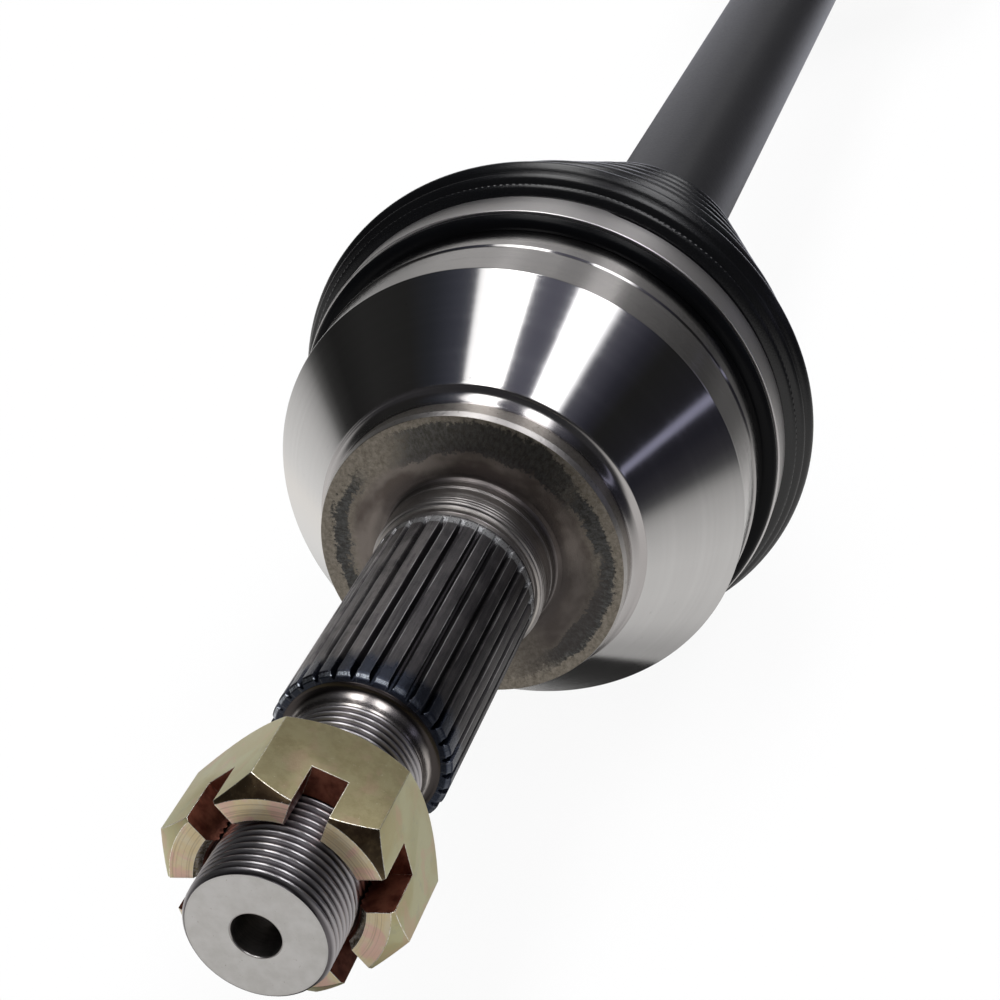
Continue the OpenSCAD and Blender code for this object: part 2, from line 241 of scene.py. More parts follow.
def paint(ob, materials, pick=None, shift=0.0):
    """Puts materials on a mesh; pick(faces) gives each face's slot."""
    mesh = ob.data
    mesh.materials.clear()
    for material in materials:
        mesh.materials.append(material)
    if pick is None:
        return
    centre, normal = np.zeros(len(mesh.polygons) * 3), np.zeros(len(mesh.polygons) * 3)
    mesh.polygons.foreach_get("center", centre)
    mesh.polygons.foreach_get("normal", normal)
    centre = centre.reshape(-1, 3) / MM - np.array([shift, 0, 0])
    normal = normal.reshape(-1, 3)
    radius = np.hypot(centre[:, 1], centre[:, 2])
    outward = normal[:, 1] * centre[:, 1] + normal[:, 2] * centre[:, 2]
    faces = SimpleNamespace(x=centre[:, 0], radius=radius, centre=centre, normal=normal,
                            outward=outward / np.maximum(radius, 1e-6))
    mesh.polygons.foreach_set("material_index", np.asarray(pick(faces), np.int32))
    mesh.update()


def finish_piece(ob, body, replaced):
    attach(ob, body)
    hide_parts(replaced)


# ---------------------------------------------------------------- shader nodes
class Value:
    """A node output; arithmetic on it adds nodes to the same tree."""

    def __init__(self, nodes, node, out):
        self.nodes, self.node, self.out = nodes, node, out

    def math(self, operation, other=None, clamp=False):
        inputs = {0: self} if other is None else {0: self, 1: other}
        return self.nodes.node("Math", inputs, operation=operation, use_clamp=clamp)

    def __add__(self, other):
        return self.math("ADD", other)

    def __sub__(self, other):
        return self.math("SUBTRACT", other)

    def __mul__(self, other):
        return self.math("MULTIPLY", other)

    def __truediv__(self, other):
        return self.math("DIVIDE", other)

    def rise(self, start, end, low=0.0, high=1.0):
        """Goes smoothly from low to high as the value goes from start to end."""
        return self.nodes.node(
            "MapRange", {"Value": self, "From Min": start, "From Max": end,
                         "To Min": low, "To Max": high}, interpolation_type="SMOOTHSTEP")

    def fall(self, start, end):
        return self.rise(start, end, 1, 0)

    def band(self, start, end, soft):
        """1 between start and end, with soft edges."""
        return self.rise(start - soft, start + soft) * self.fall(end - soft, end + soft)

    def sway(self, size):
        """Turns a 0 to 1 noise into an offset of that full size about zero."""
        return (self + -0.5) * size


class Nodes:
    """Adds shader nodes to a material or world; inputs take numbers, colours or Values."""

    def __init__(self, owner):
        owner.use_nodes = True
        self.tree = owner.node_tree
        self.tree.nodes.clear()

    def plug(self, socket, value):
        if isinstance(value, Value):
            self.tree.links.new(value.node.outputs[value.out], socket)
        elif isinstance(value, tuple) and socket.type == "RGBA":
            socket.default_value = (*value, 1)
        else:
            socket.default_value = value

    def node(self, kind, inputs=None, out=0, **settings):
        node = self.tree.nodes.new("ShaderNode" + kind)
        for key, value in settings.items():
            setattr(node, key, value)
        for key, value in (inputs or {}).items():
            self.plug(node.inputs[key], value)
        return Value(self, node, out)

    def split(self, vector):
        node = self.node("SeparateXYZ", {0: vector}).node
        return [Value(self, node, k) for k in range(3)]

    def vector(self, x, y, z):
        return self.node("CombineXYZ", {0: x, 1: y, 2: z})

    def vector_math(self, operation, a, b, out=0):
        return self.node("VectorMath", {0: a, 1: b}, out, operation=operation)

    def mix(self, mask, a, b):
        """Colour a where the mask is 0, b where it is 1."""
        return self.node("Mix", {0: mask, 6: a, 7: b}, 2, data_type="RGBA")

    def noise(self, where, scale=1.0, detail=2, rough=0.5, distortion=0.0):
        return self.node("TexNoise", {"Vector": where, "Scale": scale, "Detail": detail,
                                      "Roughness": rough, "Distortion": distortion})


class Surface(Nodes):
    """A material worked out in millimetres from where the point lies about the axle.

    It reads the stored rest points, or the object's own space for the CAD pieces.
    """

    def __init__(self, name, object_space=False):
        self.material = bpy.data.materials.new(name)
        super().__init__(self.material)
        self.object_space = object_space
        shader = self.node("BsdfPrincipled")
        self.node("OutputMaterial", {0: shader})
        self.shader_inputs = shader.node.inputs
        self.base = self.normal = None

    @cached_property
    def position(self):
        if self.object_space:
            metres = self.node("TexCoord", out="Object")
            return self.vector_math("MULTIPLY", metres, (1000, 1000, 1000))
        return self.node("Attribute", out="Vector", attribute_name="rest")

    @cached_property
    def axes(self):
        return self.split(self.position)

    @property
    def x(self):
        return self.axes[0]

    @cached_property
    def minus_y(self):
        return self.axes[1] * -1

    @cached_property
    def radius(self):
        _, y, z = self.axes
        return (y * y + z * z).math("SQRT")

    @cached_property
    def sine(self):
        return self.minus_y / self.radius.math("MAXIMUM", 0.01)

    @cached_property
    def cosine(self):
        return self.axes[2] / self.radius.math("MAXIMUM", 0.01)

    @cached_property
    def azimuth(self):
        """phi in degrees."""
        return self.minus_y.math("ARCTAN2", self.axes[2]) * (180 / math.pi)

    def grain(self, scale, detail, rough, distortion=0.0):
        return self.noise(self.position, scale, detail, rough, distortion)

    def streaks(self, value, along, around=0.4, detail=3, rough=0.6):
        """Noise with its own frequency along the value and around the axle."""
        where = self.vector(value * along, self.cosine * around, self.sine * around)
        return self.noise(where, detail=detail, rough=rough)

    def level(self, mask, a, b):
        """Number a where the mask is 0, b where it is 1."""
        return self.node("Mix", {0: mask, 2: a, 3: b})

    def tint(self, mask, colour, share=None):
        """Lays a colour over the base where the mask is, at most by the share."""
        self.base = self.mix(mask if share is None else mask * share, self.base, colour)

    def bump(self, height, depth):
        inputs = {"Distance": depth * MM, "Strength": 1.0, "Height": height}
        if self.normal is not None:
            inputs["Normal"] = self.normal
        self.normal = self.node("Bump", inputs)
        self.plug(self.shader_inputs["Normal"], self.normal)

    def stretch_shine(self, amount):
        """Stretches the highlights as on turned metal."""
        tangent = self.node("Tangent", direction_type="RADIAL", axis="X")
        self.plug(self.shader_inputs["Tangent"], tangent)
        self.plug(self.shader_inputs["Anisotropic"], amount)
        self.plug(self.shader_inputs["Anisotropic Rotation"], 0.25)

    def edge_wear(self, reach):
        """Share of edge at a point, from the rounded normal."""
        rounded = self.node("Bevel", {"Radius": reach * MM}, samples=4)
        plain = self.node("NewGeometry", out="Normal")
        return self.vector_math("DOT_PRODUCT", rounded, plain, "Value").rise(0.995, 0.9)

    def finish(self, rough, metal=1.0, specular=None):
        self.plug(self.shader_inputs["Base Color"], self.base)
        self.plug(self.shader_inputs["Roughness"], rough)
        self.plug(self.shader_inputs["Metallic"], metal)
        if specular is not None:
            self.plug(self.shader_inputs["Specular IOR Level"], specular)
        return self.material


# ------------------------------------------------------------------- materials
def end_face_steel():
    mat = Surface("machined_end_face")
    cloud = mat.grain(0.22, detail=4, rough=0.6)
    spots = mat.grain(1.5, detail=3, rough=0.7).rise(0.66, 0.74)
    rim = mat.radius.rise(10.6, 11.4)
    mat.base = mat.mix(cloud.rise(0.3, 0.7), (0.76, 0.745, 0.72), (0.90, 0.885, 0.87))
    mat.tint(spots, (0.36, 0.31, 0.26), share=0.5)
    mat.tint(rim, (0.7, 0.68, 0.66), share=0.4)
    mat.bump(mat.streaks(mat.radius, along=9.0, around=0.25, detail=2), depth=0.012)
    mat.bump(mat.grain(5, detail=3, rough=0.6), depth=0.01)
    return mat.finish(rough=mat.level(cloud, 0.42, 0.56))


def thread_steel():
    mat = Surface("cut_thread_steel")
    crest = mat.radius.rise(11.35, 11.95)
    mottle = mat.streaks(mat.x, along=2.2, around=5, detail=4, rough=0.65)
    oil = mat.streaks(mat.x, along=0.15, around=1.5, rough=0.5)
    neck = mat.x.rise(-68.9, -68.1)
    # painted shade in the concave fillet where the neck meets the spline's front face
    flare_shade = (mat.radius + mottle.sway(0.4)).rise(12.25, 12.75)
    # painted shade: the thread's roots much darker than its crests
    mat.base = mat.mix(crest, (0.11, 0.103, 0.11), (0.56, 0.54, 0.555))
    mat.tint(oil.rise(0.45, 0.7), (0.40, 0.36, 0.375), share=0.25)
    mat.tint(neck, (0.60, 0.555, 0.53))
    mat.tint(flare_shade, (0.035, 0.028, 0.027), share=0.93)
    mat.bump(mat.streaks(mat.x, along=14), depth=0.010)
    return mat.finish(rough=mat.level(neck, mat.level(mottle, 0.26, 0.36), 0.24))


def hole_steel():
    mat = Surface("drilled_hole_steel")
    lines = mat.streaks(mat.x, along=5.0, around=0.5)
    mat.base = mat.mix(lines, (0.34, 0.32, 0.31), (0.62, 0.60, 0.58))
    mat.bump(lines, depth=0.03)
    return mat.finish(rough=0.3)


def spline_steel():
    mat = Surface("hobbed_spline_steel")
    along = mat.streaks(mat.x, along=0.06, around=26, detail=4)
    fine = mat.streaks(mat.x, along=0.5, around=90)
    cloud = mat.grain(0.16, detail=3, rough=0.55)
    grit = mat.grain(3.2, detail=3, rough=0.7)
    land = mat.radius.rise(15.3, 15.85)
    mat.base = mat.mix(along.rise(0.3, 0.7), (0.10, 0.094, 0.098), (0.27, 0.252, 0.25))
    mat.tint(cloud.rise(0.42, 0.62), (0.40, 0.375, 0.365), share=0.55)
    # painted shade in the gaps between the teeth
    mat.tint(land.fall(0, 1), (0.045, 0.041, 0.046), share=0.7)
    mat.tint(grit.rise(0.55, 0.75), (0.46, 0.44, 0.43), share=0.55)
    mat.tint(fine.rise(0.5, 0.7), (0.05, 0.046, 0.05), share=0.35)
    # painted shade: the teeth darker for phi above about 4 degrees, from how the light falls
    shaded_side = (mat.azimuth + cloud.sway(30)).rise(-6, 14) * mat.x.rise(5, 0)
    mat.tint(shaded_side, (0.038, 0.036, 0.040), share=0.72)
    # worn tooth edges: 0 to 0.5 across each half tooth
    tooth = mat.azimuth * (STUB_TEETH / 360) + 100.5
    tooth = (tooth.math("FRACT") + -0.5).math("ABSOLUTE")
    worn = tooth.band(0.27, 0.305, soft=0.012) * along.rise(0.42, 0.6)
    mat.tint(worn * mat.x.rise(-10, -11), (0.72, 0.71, 0.71), share=0.7)
    # dark blue front end with a ragged edge
    ragged = mat.streaks(mat.x, along=0.2, around=9).sway(7.0)
    blue = (mat.x + ragged).rise(-57.8, -60.8)
    mat.tint(blue, (0.034, 0.044, 0.070), share=0.8)
    # bright marks on the front bevel, partly bare metal and partly a painted highlight that
    # fades from phi = 5 to 50 degrees
    bevel = mat.x.band(-64.75, -64.3, soft=0.08) * mat.radius.rise(14.9, 15.1)
    bevel = bevel * mat.azimuth.rise(50, 5, low=0.12, high=0.75)
    mat.tint(bevel * along.rise(0.3, 0.55, low=0.35, high=1.0), (0.62, 0.66, 0.72))
    ramp = mat.x.band(-14.3, -12.4, soft=0.2) * mat.radius.rise(15.0, 15.5)
    mat.tint(ramp * grit.rise(0.36, 0.5), (0.62, 0.63, 0.64), share=0.65)
    mat.bump(fine, depth=0.05)
    mat.bump(grit, depth=0.04)
    return mat.finish(rough=mat.level(blue, mat.level(cloud, 0.42, 0.56), 0.26))


def collar_steel():
    mat = Surface("turned_collar_steel")
    lines = mat.streaks(mat.x, along=6.0, around=0.3, detail=4, rough=0.7)
    groove = mat.streaks(mat.x, along=2.6, around=0.15, detail=2).rise(0.56, 0.62)
    cloud = mat.grain(0.3, detail=4, rough=0.6)
    mat.base = mat.mix(lines, (0.27, 0.255, 0.25), (0.60, 0.57, 0.555))
    mat.tint(cloud.rise(0.5, 0.7), (0.22, 0.195, 0.19), share=0.4)
    lip = mat.x.band(-9.74, -9.5, soft=0.05)
    mat.tint(lip, (0.62, 0.58, 0.54), share=0.7)
    # painted shade in the fillet where the collar meets the seat face
    seat_corner_shade = mat.x.rise(-2.6, -0.4)
    mat.tint(seat_corner_shade, (0.12, 0.10, 0.098), share=0.7)
    mat.bump(lines, depth=0.03)
    mat.bump(groove, depth=0.02)
    return mat.finish(rough=mat.level(lines, 0.30, 0.42))


def seat_steel():
    mat = Surface("mottled_seat_face")
    radius, azimuth = mat.radius, mat.azimuth
    # degrees to millimetres of arc near the rim
    arc = azimuth * 0.43
    # torn, comb-like edges of the dark oxide
    comb = mat.noise(mat.vector(radius * 0.8, arc * 1.6, 0.0), detail=3, rough=0.7)
    rag = mat.grain(0.95, detail=5, rough=0.75)
    patch = mat.streaks(radius, along=0.16, around=1.9, rough=0.55)
    grit = mat.grain(3.0, detail=4, rough=0.75)
    jitter = comb.sway(2.2) + patch.sway(6.5) + rag.sway(3.4)
    torn_radius, torn_azimuth = radius + jitter, azimuth + jitter * 4.0

    def oxide(inner, outer, radius_soft, start, end, soft):
        """A torn arc between two radii and two azimuths."""
        return (torn_radius.band(inner, outer, radius_soft)
                * torn_azimuth.band(start, end, soft))

    arc_minus = oxide(24.6, 26.9, 0.3, -112, -48, 8)
    arc_top = oxide(22.8, 28.4, 0.35, -24, 62, 9)
    arc_plus = oxide(24.2, 28.3, 0.3, 58, 152, 9)
    gap = oxide(22.0, 26.0, 0.5, 88, 106, 5)
    dark = arc_minus.math("MAXIMUM", arc_top * 0.85).math("MAXIMUM", arc_plus * gap.fall(0, 1))
    dark = dark.math("MULTIPLY", grit.rise(0.3, 0.5, low=0.8, high=1.0), clamp=True)
    beige = mat.mix(rag.rise(0.3, 0.7), (0.20, 0.175, 0.142), (0.37, 0.335, 0.285))
    brown = mat.mix(patch.rise(0.4, 0.65), (0.15, 0.125, 0.112), (0.29, 0.255, 0.23))
    mat.base = mat.mix((radius + patch.sway(5)).rise(22.2, 25.2), brown, beige)
    mat.tint(azimuth.rise(140, 156), beige)
    blue = mat.mix(comb.rise(0.35, 0.65), (0.026, 0.028, 0.030), (0.085, 0.090, 0.095))
    mat.tint(dark, blue, share=0.88)
    shaded = azimuth.band(92, 168, soft=12) * (radius + jitter).rise(27.6, 26.0)
    mat.tint(shaded, (0.07, 0.062, 0.06), share=0.62)
    speck = mat.noise(mat.vector(radius * 1.2, arc * 2.6, 3.0), detail=3, rough=0.8)
    speck = speck.rise(0.62, 0.7) * 0.8
    mat.tint(speck * radius.rise(24.5, 26.5), (0.03, 0.03, 0.03))
    # painted shade in the fillet at the foot of the seat face, by the collar
    root = (radius + patch.sway(2)).rise(20.4, 18.2)
    mat.tint(root, (0.10, 0.088, 0.086), share=0.55)
    mat.bump(mat.streaks(radius, along=3.0, around=0.3), depth=0.03)
    mat.bump(grit, depth=0.03)
    mat.bump(comb, depth=0.04)
    return mat.finish(rough=mat.level(dark, 0.42, 0.34))


def rim_steel():
    mat = Surface("seat_rim_steel")
    lines = mat.streaks(mat.x, along=3.5, around=2.0, detail=4, rough=0.7)
    pits = mat.streaks(mat.x, along=0.7, around=34, detail=4, rough=0.75).rise(0.58, 0.68)
    grit = mat.grain(1.7, detail=4, rough=0.7)
    chamfer = mat.x.rise(1.5, 1.3)
    mat.base = mat.mix(grit, (0.22, 0.195, 0.17), (0.50, 0.465, 0.43))
    mat.tint(pits, (0.06, 0.055, 0.052), share=0.7)
    mat.tint(chamfer, (0.52, 0.50, 0.49), share=0.8)
    mat.tint(chamfer * pits, (0.12, 0.11, 0.10), share=0.45)
    mat.bump(lines, depth=0.05)
    mat.bump(grit, depth=0.05)
    return mat.finish(rough=mat.level(grit, 0.24, 0.4))


def groove_steel():
    mat = Surface("polished_groove_steel")
    lines = mat.streaks(mat.x + mat.radius * 0.7, along=7.0, around=0.2)
    cloud = mat.streaks(mat.x, along=0.3, around=1.6, detail=2, rough=0.5)
    mat.base = mat.mix(cloud, (0.50, 0.47, 0.46), (0.66, 0.65, 0.65))
    mat.bump(lines, depth=0.008)
    return mat.finish(rough=mat.level(lines, 0.10, 0.18))


def cone_steel():
    mat = Surface("mirror_turned_cone")
    slope = mat.x * 0.78 + mat.radius * 0.63
    micro = mat.streaks(slope, along=5.2, around=0.12, detail=2)
    wide = mat.streaks(slope, along=0.55, around=0.25, rough=0.5)
    cells = mat.node("TexVoronoi", {"Vector": mat.position, "Scale": 0.33}, out="Distance")
    mat.base = mat.mix(wide, (0.64, 0.63, 0.625), (0.72, 0.71, 0.705))
    mat.tint(cells.rise(0.09, 0.045), (0.3, 0.3, 0.31), share=0.3)
    # regular tool marks, 14 radians to the millimetre
    mat.bump((slope * 14.0).math("SINE"), depth=0.0016)
    mat.bump(micro, depth=0.010)
    mat.stretch_shine(0.6)
    return mat.finish(rough=mat.level(wide, 0.10, 0.15))


def drum_steel():
    mat = Surface("ground_drum_steel")
    wide = mat.streaks(mat.x, along=0.5, around=0.6, rough=0.5)
    blot = mat.streaks(mat.x, along=0.25, around=5, detail=4)
    mat.base = mat.mix(wide, (0.53, 0.51, 0.505), (0.59, 0.575, 0.57))
    mat.tint(blot.rise(0.55, 0.72), (0.42, 0.40, 0.39), share=0.22)
    mat.bump(mat.streaks(mat.x, along=6.0, around=0.3), depth=0.008)
    mat.stretch_shine(0.4)
    return mat.finish(rough=mat.level(blot, 0.08, 0.14))


def joint_bore_steel():
    mat = Surface("hardened_joint_bore")
    cloud = mat.grain(0.25, detail=4, rough=0.6)
    mat.base = mat.mix(cloud, (0.10, 0.10, 0.11), (0.26, 0.255, 0.25))
    mat.bump(mat.grain(2.5, detail=3, rough=0.6), depth=0.03)
    return mat.finish(rough=mat.level(cloud, 0.3, 0.5))


def nut_zinc():
    mat = Surface("yellow_zinc_nut")

    def moved_noise(offset, scale, detail, rough, distortion=0.0):
        where = mat.vector_math("ADD", mat.position, offset)
        return mat.noise(where, scale, detail, rough, distortion)

    cloud = mat.grain(0.13, detail=3, rough=0.55, distortion=0.4)
    blush = moved_noise((31, 7, 11), 0.20, detail=3, rough=0.5, distortion=0.5)
    mottle = moved_noise((5, 17, 2), 0.45, detail=4, rough=0.65)
    fine = mat.grain(2.4, detail=4, rough=0.7)
    fleck = mat.grain(1.2, detail=3, rough=0.8).rise(0.66, 0.74)
    normal_x = mat.split(mat.node("NewGeometry", out="Normal"))[0]
    # the six flats; the top flat olive and darkened as painted shade
    flat = mat.mix(cloud.rise(0.38, 0.62), (0.60, 0.53, 0.28), (0.64, 0.61, 0.36))
    flat = mat.mix(blush.rise(0.54, 0.68) * 0.5, flat, (0.72, 0.48, 0.33))
    flat = mat.mix(mottle.rise(0.55, 0.72) * 0.45, flat, (0.50, 0.48, 0.33))
    shaded_olive = mat.mix(mottle.rise(0.35, 0.65), (0.24, 0.20, 0.10), (0.30, 0.26, 0.14))
    shaded_olive = mat.mix(blush.rise(0.50, 0.66) * 0.45, shaded_olive, (0.38, 0.26, 0.18))
    flat = mat.mix(mat.azimuth.band(-3, 57, soft=0.6) * 0.9, flat, shaded_olive)
    # the face towards -X
    face = mat.mix(mottle.rise(0.35, 0.65), (0.88, 0.72, 0.44), (0.90, 0.78, 0.55))
    face = mat.mix(blush.rise(0.50, 0.62) * 0.7, face, (0.92, 0.56, 0.50))
    ring = mat.streaks(mat.radius, along=2.4, around=0.3)
    face = mat.mix(ring.rise(0.5, 0.64) * 0.4, face, (0.42, 0.30, 0.17))
    mat.base = mat.mix(normal_x.rise(-0.86, -0.95), flat, face)
    # painted dark reflection on the front chamfers at the top flat's two corners
    chamfer = normal_x.band(-0.86, -0.45, soft=0.03) * mat.x.rise(-98.2, -98.8)
    chamfer = chamfer * mat.azimuth.band(-32, 82, soft=4)
    dark_reflection = mat.mix(mottle.rise(0.4, 0.7), (0.07, 0.042, 0.024), (0.17, 0.115, 0.06))
    mat.tint(chamfer, dark_reflection, share=0.95)
    mat.tint(fleck, (0.72, 0.69, 0.58), share=0.4)
    # rubbed edges, partly real wear and partly a painted edge highlight
    wear_and_glint = mat.edge_wear(0.28) * fine.rise(0.3, 0.6)
    mat.tint(wear_and_glint, (0.97, 0.93, 0.84), share=0.75)
    mat.bump(fine, depth=0.02)
    mat.bump(mat.grain(0.7, detail=3, rough=0.6), depth=0.02)
    return mat.finish(rough=mat.level(fine, 0.28, 0.38), metal=mat.level(chamfer, 0.55, 0.9))


def nut_edge_zinc():
    mat = Surface("worn_glinting_zinc_edge")
    # near-white rounded edges, partly wear and partly a painted edge highlight
    mottle = mat.grain(1.6, detail=3, rough=0.65)
    mat.base = mat.mix(mottle.rise(0.34, 0.6), (0.55, 0.48, 0.30), (0.97, 0.94, 0.86))
    mat.bump(mottle, depth=0.02)
    return mat.finish(rough=mat.level(mottle, 0.20, 0.32))


def nut_slot_zinc():
    mat = Surface("dark_red_slot_zinc")
    # darker red-brown inside the slots
    cloud = mat.grain(0.35, detail=3, rough=0.6)
    mat.base = mat.mix(cloud.rise(0.3, 0.7), (0.13, 0.035, 0.022), (0.34, 0.125, 0.075))
    mat.bump(mat.grain(1.8, detail=3, rough=0.6), depth=0.03)
    return mat.finish(rough=0.34, metal=0.75)


def boot_rubber():
    mat = Surface("moulded_black_rubber")
    cloud = mat.grain(0.09, detail=4, rough=0.6)
    fine = mat.grain(3.0, detail=3, rough=0.6)
    mat.base = mat.mix(cloud, (0.0035, 0.0038, 0.0048), (0.0075, 0.0078, 0.009))
    # a row of 250 fine beads behind the outboard large clamp
    waves = (mat.azimuth * (250 * math.pi / 180)).math("SINE")
    beads = mat.x.band(58.1, 58.8, soft=0.25) * waves
    mat.bump(fine, depth=0.025)
    mat.bump(mat.streaks(mat.x, along=1.6, around=0.25), depth=0.02)
    mat.bump(beads, depth=0.11)
    mat.tint(fine.rise(0.62, 0.8), (0.02, 0.02, 0.021), share=0.15)
    past_lip = mat.x.rise(49, 56)
    return mat.finish(rough=mat.level(cloud, 0.19, 0.26), metal=0.0,
                      specular=mat.level(past_lip, 0.10, 0.66))


def band_steel():
    mat = Surface("stainless_band")
    lines = mat.streaks(mat.x, along=3.0, around=3.0, detail=4)
    scratches = mat.streaks(mat.x, along=6.0, around=14, rough=0.7).rise(0.62, 0.7)
    mat.base = mat.mix(lines, (0.74, 0.715, 0.71), (0.82, 0.80, 0.795))
    mat.tint(scratches, (0.88, 0.86, 0.85), share=0.25)
    mat.bump(lines, depth=0.008)
    return mat.finish(rough=mat.level(lines, 0.30, 0.38))


def shaft_paint():
    mat = Surface("satin_black_shaft")
    cloud = mat.streaks(mat.x, along=0.02, around=2, detail=4)
    peel = mat.grain(1.1, detail=3, rough=0.55)
    lines = mat.streaks(mat.x, along=1.2, around=0.5, detail=4, rough=0.65)
    mat.base = mat.mix(cloud, (0.014, 0.014, 0.016), (0.026, 0.026, 0.028))
    inboard = mat.x.rise(494 + INBOARD_SHIFT, 497 + INBOARD_SHIFT)
    bare_ends = mat.x.rise(60, 56).math("MAXIMUM", inboard)
    mat.tint(bare_ends, (0.28, 0.27, 0.265))
    mat.bump(peel, depth=0.035)
    mat.bump(lines, depth=0.03)
    return mat.finish(rough=mat.level(peel, 0.30, 0.42), metal=bare_ends, specular=0.5)


def housing_steel():
    mat = Surface("machined_inboard_steel")
    slope = mat.x + mat.radius * 0.8
    lines = mat.streaks(slope, along=4.0, around=0.2, rough=0.65)
    wide = mat.streaks(slope, along=0.35, around=0.5, rough=0.5)
    blot = mat.streaks(mat.x, along=0.12, around=4, detail=4)
    mat.base = mat.mix(wide, (0.50, 0.48, 0.47), (0.68, 0.66, 0.65))
    mat.tint(blot.rise(0.54, 0.72), (0.30, 0.27, 0.25), share=0.35)
    brown_ring = mat.x.band(566, 569.5, soft=1.2)
    mat.tint(brown_ring, (0.25, 0.18, 0.14), share=0.5)
    mat.bump(lines, depth=0.012)
    mat.stretch_shine(0.5)
    return mat.finish(rough=mat.level(blot, 0.15, 0.3))


def cad_metal(name, low, high, rough, speck=None, scale=0.25, depth=0.02):
    """Clouded metal between two colours for a CAD piece, with worn edges."""
    mat = Surface(name, object_space=True)
    cloud = mat.grain(scale, detail=4, rough=0.6)
    fine = mat.grain(scale * 9, detail=3, rough=0.65)
    mat.base = mat.mix(cloud, low, high)
    if speck:
        mat.tint(fine.rise(0.56, 0.72), speck, share=0.5)
    mat.tint(mat.edge_wear(0.25), tuple(min(1, 1.5 * c + 0.1) for c in high), share=0.5)
    mat.bump(fine, depth)
    return mat.finish(rough=mat.level(cloud, *rough))


END, THREAD, HOLE, SPLINE = end_face_steel(), thread_steel(), hole_steel(), spline_steel()
COLLAR, SEAT, RIM, GROOVE = collar_steel(), seat_steel(), rim_steel(), groove_steel()
CONE, DRUM, JOINT_BORE = cone_steel(), drum_steel(), joint_bore_steel()
ZINC, ZINC_SLOT, ZINC_EDGE = nut_zinc(), nut_slot_zinc(), nut_edge_zinc()
RUBBER, BAND, PAINT, HOUSING = boot_rubber(), band_steel(), shaft_paint(), housing_steel()

# -------------------------------------------------------- outboard stub: thread
TIP_X = -111.6
PITCH = 1.5
CREST = 12.0
THREAD_DEPTH = 0.92
HOLE_RADIUS = 4.0
NECK_FILLET = 2.1


def thread_wave(x, phi):
    """0 at the thread's root, 1 at its crest."""
    turn = ((x - TIP_X) / PITCH - phi / TAU) % 1.0
    return 1 - np.abs(2 * turn - 1)


def cut_thread(x, radius, phi):
    threaded = (radius > 11.95) & (x > TIP_X + 0.02) & (x < -67.5)
    flank = np.clip((thread_wave(x, phi) - 0.06) / 0.84, 0, 1)
    flank = 0.35 * flank + 0.65 * (0.5 - 0.5 * np.cos(math.pi * flank))
    depth = THREAD_DEPTH * smooth_step(x, -67.8, -69.6)
    cut = CREST - depth * (1 - flank)
    cut = np.minimum(cut, 11.35 + (x - TIP_X) * 0.9)
    return x, np.where(threaded, cut, radius)


def build_stub_thread():
    # centre hole, end face, thread, neck fillet
    rows = [(-93.3, 0.0), (-95.6, 3.9)]
    rows += [(x, HOLE_RADIUS) for x in (-95.7, -100, -105, -109, -111.2)]
    rows += [(-111.4, 4.02), (-111.53, 4.08)]
    rows += [(TIP_X, face) for face in (4.16, 4.3, 5.5, 7, 8.5, 10, 11.1, 11.25)]
    rows += [(x, CREST) for x in np.arange(TIP_X + 0.04, -67.45, 0.105)]
    rows += [(-67.05 + NECK_FILLET * math.sin(a), 14.1 - NECK_FILLET * math.cos(a))
             for a in np.radians(np.linspace(0, 88, 13))]
    rows += [(-64.5, 14.3), (-64.5, 11.0), (-64.5, 0.0)]
    stub = lathe("stub_thread", rows, even_angles(144), cut_thread, sharp=38)
    paint(stub, [END, THREAD, HOLE], lambda faces: np.select(
        [(faces.x < TIP_X + 0.01) & (faces.radius > 4.4), faces.radius < 4.5], [0, 2], 1))
    finish_piece(stub, "outboard_bell", "outboard_bell")


build_stub_thread()


# --------------------------------------------------------------------- splines
def tooth_angles(teeth, half):
    """Angles at shares of the tooth pitch: a gap's middle, a tooth's, and both its sides."""
    shares = [-0.5, *(-share for share in reversed(half)), 0, *half]
    return np.array([(i + share) * TAU / teeth for i in range(teeth) for share in shares])


def tooth_offset(phi, teeth):
    """Share of the pitch from the nearest tooth's middle."""
    return np.abs((phi * teeth / TAU + 0.5) % 1.0 - 0.5)


def tooth_height(offset, land, foot):
    """1 on the tooth's land, falling to 0 at its foot."""
    return np.clip((foot - offset) / (foot - land), 0, 1)


def spline_rows(stations, core, tip):
    start, end = stations[0], stations[-1]
    return [(start, 0), (start, core)] + [(x, tip) for x in stations] + [(end, core), (end, 0)]


